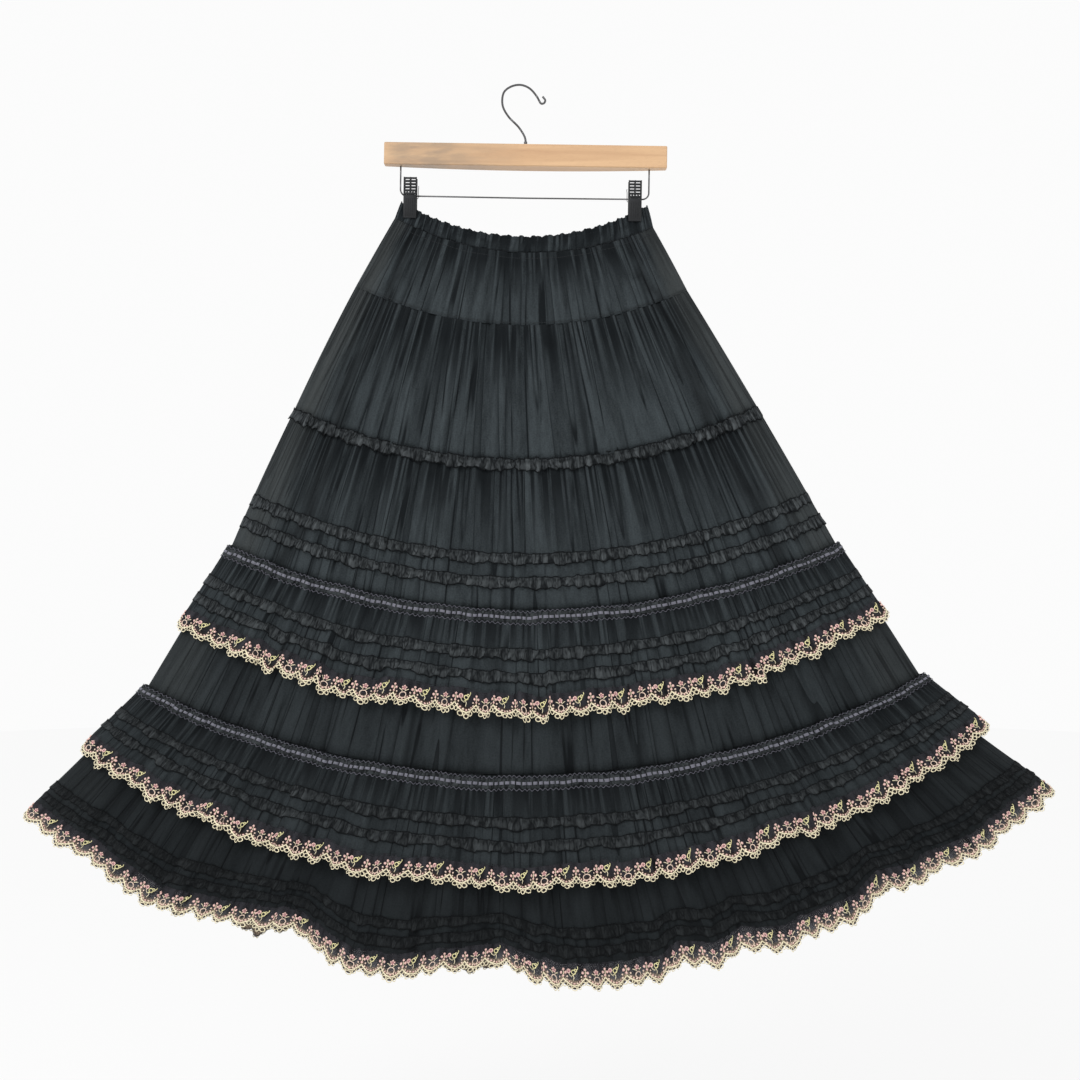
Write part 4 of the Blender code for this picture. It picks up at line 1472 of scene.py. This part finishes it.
@dataclass
class LadderLace:
    """A flat lace with looped edges and a ribbon threaded through its middle."""

    name: str
    surface: Surface
    seed: float
    middle: float = 8.5
    half_width: float = 7.2
    wave: float = 6.4
    pitch: float = 7.0

    def lay(self, distance: Array, down: Array, lift: Array | float) -> Array:
        """Points on the panel at distances round its top and down from it, in mm."""
        turn = self.surface.turn_at(np.mod(distance, self.surface.length(0.0) + 1e-9), 0.0)
        sag = 1.6 * wobble(turn * 40.0, self.seed)
        return self.surface.at(turn, (down + sag) / self.surface.height, lift)

    def band_place(self, turn: Array, share: Array) -> Array:
        """The lace's points."""
        distance = turn / 2 * self.surface.length(0.0) * 0.99999
        down = self.middle + (2 * share - 1) * (self.half_width - 1.3)
        return self.lay(distance, down, 0.9)

    def build(self, finishes: Finishes) -> list[bpy.types.Object]:
        """Makes the lace, its looped edges and its ribbon.

        Args:
            finishes: The materials.

        Returns:
            The pieces.
        """
        length = self.surface.length(0.0)
        mesh = cloth_tube(self.name, 900, 3, self.band_place, length, 2 * self.half_width, {
            "down": lambda turn, share: 0.5 + 0 * turn, "painted_light": lambda turn, share: 0.45 + 0 * turn,
            "layers": lambda turn, share: 0.3 + 0 * turn})
        band = finish_object(self.name, mesh, finishes.raw)
        thicken(band, 0.4)
        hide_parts(*sides(self.name))
        loops = finish_object(f"{self.name}_loops", self.loop_mesh(length), finishes.thread)
        ribbon = finish_object(f"{self.name}_ribbon", self.ribbon_mesh(length), finishes.satin)
        return [band, loops, ribbon]

    def bent(self, name: str, bm: bmesh.types.BMesh, length: float) -> bpy.types.Mesh:
        """Lays a flat drawing of x, lift and down over the panel, fitted once round."""
        mesh = bpy.data.meshes.new(name)
        bm.to_mesh(mesh)
        bm.free()
        flat = vertex_places(mesh)
        move_vertices(mesh, self.lay(np.clip(flat[:, 0], 0.0, length * 0.99999), flat[:, 1], flat[:, 2]))
        return mesh

    def loop_mesh(self, length: float) -> bpy.types.Mesh:
        """The waved thread along both edges."""
        bm = bmesh.new()
        steps = round(length / self.wave) * 6
        for edge in (-1, 1):
            made = bmesh.ops.create_grid(bm, x_segments=steps, y_segments=2, size=1.0)["verts"]
            for vert in made:
                x = (vert.co.x + 1) / 2 * length
                swing = 1.15 * math.sin(2 * math.pi * x / self.wave)
                across_thread = vert.co.y
                vert.co = (
                    x, self.middle + edge * self.half_width + swing + 0.5 * across_thread,
                    1.5 - 0.5 * across_thread * across_thread,
                )
        return self.bent(f"{self.name}_loops", bm, length)

    def ribbon_mesh(self, length: float) -> bpy.types.Mesh:
        """The ribbon's stretches that show between the lace's bars."""
        bm = bmesh.new()
        count = round(length / self.pitch)
        for k in range(count):
            made = bmesh.ops.create_grid(bm, x_segments=4, y_segments=2, size=0.5)["verts"]
            stretch = 5.3 + 0.5 * math.sin(2.3 * k + self.seed)
            for vert in made:
                x, y = vert.co.x, vert.co.y
                vert.co = (
                    (k + 0.5) * length / count + x * stretch,
                    self.middle + y * (3.4 + 0.4 * math.sin(3.1 * k)) + 0.25 * math.sin(1.7 * k),
                    1.2 + 1.3 * (1 - 4 * x * x) + 0.3 * (1 - 4 * y * y),
                )
        return self.bent(f"{self.name}_ribbon", bm, length)


@dataclass
class StitchLine:
    """A row of short raised stitches along a panel."""

    name: str
    surface: Surface
    share: float
    pitch: float = 2.9
    stitch: float = 2.0
    width: float = 0.55

    def build(self, finishes: Finishes) -> bpy.types.Object:
        """Makes the stitches.

        Args:
            finishes: The materials.

        Returns:
            The piece.
        """
        length = self.surface.length(self.share)
        count = round(length / self.pitch)
        bm = bmesh.new()
        for k in range(count):
            made = bmesh.ops.create_grid(bm, x_segments=2, y_segments=1, size=0.5)["verts"]
            for vert in made:
                rise = 0.55 if abs(vert.co.x) < 0.25 else 0.15
                vert.co = ((k + 0.5) * length / count + vert.co.x * self.stitch, vert.co.y * self.width, rise)
        mesh = bpy.data.meshes.new(self.name)
        bm.to_mesh(mesh)
        bm.free()
        flat = vertex_places(mesh)
        turn = self.surface.turn_at(flat[:, 0], self.share)
        move_vertices(mesh, self.surface.at(turn, self.share + flat[:, 1] / self.surface.height, flat[:, 2] + 0.1))
        return finish_object(self.name, mesh, finishes.seam)


class Tilted:
    """The hanger's frame, turned a little about the top of the bar's middle."""

    centre = (BAR_X, BAR_Z + BAR_HEIGHT / 2)
    turn = math.radians(0.85)

    @classmethod
    def place(cls, bm: bmesh.types.BMesh, verts: list[bmesh.types.BMVert] | None = None) -> None:
        """Turns vertices in mm from the bar's own frame into the hanger's place."""
        chosen = list(verts or bm.verts)
        rotation = mathutils.Matrix.Rotation(cls.turn, 3, "Y")
        bmesh.ops.rotate(bm, verts=chosen, cent=(0, 0, 0), matrix=rotation)
        bmesh.ops.translate(bm, verts=chosen, vec=(cls.centre[0], 0.0, cls.centre[1]))


def mesh_from(name: str, bm: bmesh.types.BMesh) -> bpy.types.Mesh:
    """Closes a bmesh drawn in mm and returns it as a mesh in metres."""
    bmesh.ops.recalc_face_normals(bm, faces=bm.faces)
    bmesh.ops.scale(bm, verts=bm.verts, vec=(MM, MM, MM))
    mesh = bpy.data.meshes.new(name)
    bm.to_mesh(mesh)
    bm.free()
    return mesh


def sweep(bm: bmesh.types.BMesh, route: list[tuple[float, float, float]], radius: float, section: int = 16) -> None:
    """Sweeps a round wire along points.

    Args:
        bm: Where it is made.
        route: The points, in mm.
        radius: The wire's radius.
        section: Faces round the wire.
    """
    points = [mathutils.Vector(point) for point in route]
    ring = bmesh.ops.create_circle(bm, segments=section, radius=radius, cap_ends=True)["verts"]
    face = ring[0].link_faces[0]
    heading = mathutils.Vector((0, 0, 1))
    centre = mathutils.Vector((0, 0, 0))
    for index, point in enumerate(points):
        before = points[max(index - 1, 0)]
        after = points[min(index + 1, len(points) - 1)]
        aim = (after - before).normalized()
        if index:
            made = bmesh.ops.extrude_face_region(bm, geom=[face])["geom"]
            ring = [item for item in made if isinstance(item, bmesh.types.BMVert)]
            face = next(item for item in made if isinstance(item, bmesh.types.BMFace))
        bmesh.ops.translate(bm, verts=ring, vec=point - centre)
        turn = heading.rotation_difference(aim).to_matrix()
        bmesh.ops.rotate(bm, verts=ring, cent=point, matrix=turn)
        heading, centre = aim, point


@dataclass
class Hook:
    """The swivel hook, its collar on the bar and the eye at its tip."""

    wire: float = 1.3
    route: tuple[tuple[float, float], ...] = (
        (8.3, -73.0), (7.2, -63.5), (-0.5, -51.0), (-13.0, -38.0), (-20.3, -24.0),
        (-19.0, -8.5), (-9.5, -0.6), (2.5, 1.3), (13.5, -3.2), (22.0, -12.8),
        (26.8, -21.2), (30.8, -21.4), (32.6, -17.8), (29.4, -13.2),
    )
    steps: int = 7

    def smooth(self) -> list[tuple[float, float, float]]:
        """The route's smooth curve."""
        padded = [self.route[0], *self.route, self.route[-1]]
        found = []
        for a, b, c, d in zip(padded, padded[1:], padded[2:], padded[3:]):
            for step in range(self.steps):
                s = step / self.steps
                x, z = (
                    0.5 * (2 * q + (r - p) * s + (2 * p - 5 * q + 4 * r - w) * s * s + (3 * q - p - 3 * r + w) * s**3)
                    for p, q, r, w in zip(a, b, c, d)
                )
                found.append((x, 0.0, z))
        return [*found, (self.route[-1][0], 0.0, self.route[-1][1])]

    def build(self, finishes: Finishes) -> bpy.types.Object:
        """Makes the hook.

        Args:
            finishes: The materials.

        Returns:
            The piece.
        """
        bm = bmesh.new()
        sweep(bm, self.smooth(), self.wire)
        for radius, low, high in ((3.0, -73.6, -72.2), (2.1, -72.2, -69.2)):
            made = bmesh.ops.create_cone(
                bm, cap_ends=True, segments=24, radius1=radius, radius2=radius, depth=high - low)["verts"]
            rims = list({edge for vert in made for edge in vert.link_edges})
            bmesh.ops.translate(bm, verts=made, vec=(8.2, 0.0, (low + high) / 2))
            bmesh.ops.bevel(bm, geom=rims, offset=0.25, affect="EDGES", segments=2, profile=0.5, material=-1)
        piece = finish_object("swivel_hook", mesh_from("swivel_hook", bm), finishes.wire)
        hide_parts("hook")
        return piece


@dataclass
class ClipWire:
    """The bent wire below the bar."""

    left: float = -146.2 - BAR_X
    right: float = 162.0 - BAR_X
    top: float = WIRE_TOP
    drop: float = WIRE_DROP
    bend: float = 8.0
    wire: float = 0.95

    def build(self, finishes: Finishes) -> bpy.types.Object:
        """Makes the wire.

        Args:
            finishes: The materials.

        Returns:
            The piece.
        """
        low = self.top - self.drop
        route = [(self.left, 0.0, self.top), (self.left, 0.0, self.top - 14.0)]
        for centre, start in ((self.left + self.bend, 180), (self.right - self.bend, 270)):
            for step in range(9):
                turn = math.radians(start + 90 * step / 8)
                route.append((
                    centre + self.bend * math.cos(turn), 0.0, low + self.bend + self.bend * math.sin(turn)))
            if start == 180:
                route.append((0.0, 0.0, low - 0.6))
        route += [(self.right, 0.0, self.top - 14.0), (self.right, 0.0, self.top)]
        bm = bmesh.new()
        sweep(bm, route, self.wire)
        Tilted.place(bm)
        piece = finish_object("bent_wire", mesh_from("bent_wire", bm), finishes.wire)
        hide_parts("clip_wire")
        return piece


@dataclass
class Clip:
    """A moulded clip: two ribbed jaws with slots, a coil spring and its arm."""

    word: str
    x: float
    inner: int
    width: float = 16.4
    height: float = 51.0
    wall: float = 2.4
    above: float = 22.5
    rod: float = WIRE_TOP - WIRE_DROP
    stand_off: float = 5.4
    see_through: float = 1.1

    @staticmethod
    def block(
        bm: bmesh.types.BMesh, size: tuple[float, float, float], at: tuple[float, float, float], round_off: float,
    ) -> None:
        """Adds a block with rounded edges."""
        verts = bmesh.ops.create_cube(bm, size=1.0)["verts"]
        bmesh.ops.scale(bm, verts=verts, vec=size)
        bmesh.ops.translate(bm, verts=verts, vec=at)
        edges = list({edge for vert in verts for edge in vert.link_edges})
        bmesh.ops.bevel(
            bm, geom=edges, offset=round_off, affect="EDGES", segments=2, profile=0.5, material=-1)

    def jaw(self, side: int) -> bmesh.types.BMesh:
        """One jaw: a lattice of bars above the wire and a ribbed plate below it."""
        bm = bmesh.new()
        y = side * self.stand_off
        half = self.width / 2
        low = self.above - self.height
        plate_top = self.above - 22.0
        self.block(bm, (self.width, self.wall, plate_top - low), (0, y, (plate_top + low) / 2), 1.1)
        for x, wide in ((-half + 0.8, 1.6), (0.0, 1.5), (half - 0.8, 1.6)):
            self.block(bm, (wide, self.wall * 0.75, 22.6), (x, y, self.above - 11.3), 0.3)
        shift = self.see_through if side > 0 else 0.0
        for row in range(6):
            self.block(
                bm, (self.width - 0.4, self.wall * 0.7, 2.3), (0, y, self.above - 1.4 - 3.85 * row - shift), 0.3)
        for x in (-7.0, -3.6, 0.0, 3.6, 7.0):
            self.block(bm, (2.1, self.wall * 0.7, 3.0), (x, y, self.above - 18.7 - shift), 0.15)
        for k in range(5):
            self.block(bm, (1.0, 0.8, 22.0), (-5.2 + 2.6 * k, y + side * (self.wall / 2 + 0.1), low + 13.5), 0.25)
        return bm

    def build(self, finishes: Finishes) -> list[bpy.types.Object]:
        """Makes both jaws and the spring between them.

        Args:
            finishes: The materials.

        Returns:
            The pieces.
        """
        made = []
        for word, side in (("front", -1), ("back", 1)):
            bm = self.jaw(side)
            bmesh.ops.translate(bm, verts=bm.verts, vec=(self.x - BAR_X, 0.0, self.rod))
            Tilted.place(bm)
            name = f"clip_{self.word}_{word}"
            piece = finish_object(name, mesh_from(name, bm), finishes.plastic)
            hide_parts(f"clip_{self.word}_{word}_jaw")
            made.append(piece)
        bm = bmesh.new()
        turns, steps, radius = 6, 14, 3.1
        coil = []
        for k in range(turns * steps + 1):
            turn = 2 * math.pi * k / steps
            coil.append((-4.8 + 9.6 * k / (turns * steps), radius * math.cos(turn), radius * math.sin(turn)))
        sweep(bm, coil, 0.6, 8)
        reach = self.inner * (self.width / 2 + 1.6)
        arm = [(self.inner * 4.8, 0.0, -3.1), (reach - self.inner, 0.0, -3.4), (reach, 0.0, -2.0), (reach, 0.0, 8.0),
               (reach + 0.5 * self.inner, 0.0, 10.5), (reach, 0.0, 12.5)]
        sweep(bm, arm, 0.42, 6)
        bmesh.ops.translate(bm, verts=bm.verts, vec=(self.x - BAR_X, 0.0, self.rod))
        Tilted.place(bm)
        spring = finish_object(f"clip_{self.word}_spring", mesh_from("spring", bm), finishes.wire)
        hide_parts(f"clip_{self.word}_barrel")
        return [*made, spring]


@dataclass(frozen=True)
class Studio:
    """The pale floor, soft light and camera."""

    distance: float = 2.0
    view: float = 1.3403
    eye: tuple[float, float] = (0.0261, -0.5634)
    floor: float = -1.45
    middle: float = -0.55
    sensor: float = 36.0

    def build(self) -> None:
        """Sets up the studio."""
        scene = bpy.context.scene
        scene.view_settings.view_transform = "Standard"
        camera = bpy.data.cameras.new("camera")
        camera.sensor_width = self.sensor
        camera.lens = self.sensor * self.distance / self.view
        eye = bpy.data.objects.new("camera", camera)
        eye.location = (self.eye[0], -self.distance, self.eye[1])
        eye.rotation_euler = (math.pi / 2, 0.0, 0.0)
        scene.collection.objects.link(eye)
        scene.camera = eye
        self.add_floor()
        self.add_light("key", (-1.7, -2.4, 1.5), 1.4, 60.0)
        self.add_light("fill", (1.9, -2.4, 0.3), 2.4, 6.0)
        world = bpy.data.worlds.new("studio")
        world.use_nodes = True
        world.node_tree.nodes["Background"].inputs["Color"].default_value = (1.0, 1.0, 1.0, 1.0)
        world.node_tree.nodes["Background"].inputs["Strength"].default_value = 0.97
        scene.world = world

    def add_floor(self) -> None:
        """A round pale floor below the hem."""
        bm = bmesh.new()
        bmesh.ops.create_circle(bm, segments=96, radius=6.0, cap_ends=True)
        bmesh.ops.translate(bm, verts=bm.verts, vec=(0, 0, self.floor))
        mesh = bpy.data.meshes.new("floor")
        bm.to_mesh(mesh)
        bm.free()
        paper = bpy.data.materials.new("pale_floor")
        paper.use_nodes = True
        shader = paper.node_tree.nodes["Principled BSDF"]
        shader.inputs["Base Color"].default_value = (0.16, 0.16, 0.16, 1.0)
        shader.inputs["Emission Color"].default_value = (1.0, 1.0, 1.0, 1.0)
        shader.inputs["Emission Strength"].default_value = 0.79
        shader.inputs["Roughness"].default_value = 0.9
        shader.inputs["Specular IOR Level"].default_value = 0.0
        mesh.materials.append(paper)
        floor = bpy.data.objects.new("floor", mesh)
        bpy.context.scene.collection.objects.link(floor)

    def add_light(self, name: str, place: tuple[float, float, float], size: float, watts: float) -> None:
        """A square soft light aimed at the skirt's middle."""
        light = bpy.data.lights.new(name, "AREA")
        light.size = size
        light.energy = watts
        lamp = bpy.data.objects.new(name, light)
        lamp.location = place
        aim = mathutils.Vector((0.0, 0.0, self.middle)) - mathutils.Vector(place)
        lamp.rotation_euler = aim.to_track_quat("-Z", "Y").to_euler()
        bpy.context.scene.collection.objects.link(lamp)


FLAT_SIZES = {
    "waistband": (0.75, 0.026), "tier_1": (0.95, 0.100), "tier_2": (1.40, 0.172), "tier_3": (1.85, 0.188),
    "tier_4": (2.25, 0.205), "tier_5": (3.10, 0.212), "flounce_upper": (2.30, 0.101), "flounce_lower": (3.10, 0.098),
}
SHEER = {"tier_1": 0.9, "tier_2": 0.8, "tier_3": 0.7, "tier_4": 0.4, "tier_5": 0.1}
LAYERS = {"tier_3": 0.04, "tier_4": 0.42, "flounce_upper": 0.15, "flounce_lower": 0.38, "tier_5": 0.70}


def build_skirt(finishes: Finishes) -> None:
    """Makes all of the skirt's cloth, frills, laces and stitches.

    Args:
        finishes: The materials.
    """
    kinds = {"waistband": Casing, "flounce_upper": Flounce, "flounce_lower": Flounce, "tier_5": Flounce}
    faces = {name: kinds.get(name, Surface)(name) for name in PANELS}
    for name, surface in faces.items():
        PanelCloth(
            name, surface, FLAT_SIZES[name], sheer=SHEER.get(name, 0.0), layers=LAYERS.get(name, 0.0),
            ungathered=0.4 if name == "waistband" else 1.0,
        ).build(finishes)
    tier, upper, lower, hem = (faces[n] for n in ("tier_3", "flounce_upper", "flounce_lower", "tier_5"))
    for frill in (
        Frill("frill_1", tier, -0.012, 0.070, 120, 5.5, 1.0),
        Frill("frill_2", tier, 0.622, 0.700, 150, 4.2, 2.0),
        Frill("frill_3", tier, 0.782, 0.860, 150, 4.2, 3.0),
        Frill("upper_frill_1", upper, 0.46, 0.60, 140, 3.2, 4.0, columns=900),
        Frill("upper_frill_2", upper, 0.74, 0.88, 140, 3.2, 5.0, columns=900),
        Frill("lower_frill_1", lower, 0.46, 0.59, 180, 2.8, 6.0, columns=960),
        Frill("lower_frill_2", lower, 0.72, 0.85, 180, 2.8, 7.0, columns=960),
        Frill("hem_frill_1", hem, 0.800, 0.862, 190, 2.8, 8.0, columns=960),
        Frill("hem_frill_2", hem, 0.900, 0.962, 190, 2.8, 9.0, columns=960),
    ):
        frill.layers = LAYERS[frill.surface.name] * 1.1
        frill.build(finishes)
    LadderLace("ladder_lace_1", upper, 0.4).build(finishes)
    LadderLace("ladder_lace_2", lower, 2.9).build(finishes)
    Edging("lace_edging_upper", upper, UPPER_HEM, UPPER_EDGE).build(finishes)
    Edging("lace_edging_lower", lower, LOWER_HEM, LOWER_EDGE).build(finishes)
    Edging("lace_edging_hem", hem, HEM, HEM_EDGE, clear=1.0).build(finishes)
    for line in (
        StitchLine("waist_heading_stitches", faces["waistband"], 0.25),
        StitchLine("waist_casing_stitches", faces["waistband"], 0.95),
        StitchLine("waist_lower_stitches", faces["tier_1"], 0.08),
        StitchLine("yoke_seam_stitches", faces["tier_1"], 0.97),
    ):
        line.build(finishes)


def build_hanger(finishes: Finishes, bar: bpy.types.Object) -> None:
    """Dresses the wooden bar and makes the hook, the wire and the clips.

    Args:
        finishes: The materials.
        bar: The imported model's bar.
    """
    for slot in bar.material_slots:
        slot.material = finishes.wood
    Hook().build(finishes)
    ClipWire().build(finishes)
    Clip("left", -133.8, 1).build(finishes)
    Clip("right", 144.8, -1).build(finishes)


def main() -> None:
    """Builds every piece; each one's faces are logged as it is made."""
    logging.basicConfig(level=logging.INFO, format="%(message)s")
    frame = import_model()
    Studio().build()
    finishes = Finishes()
    build_hanger(finishes, frame["nodes"]["wood_bar"])
    build_skirt(finishes)


if __name__ == "__main__":
    main()
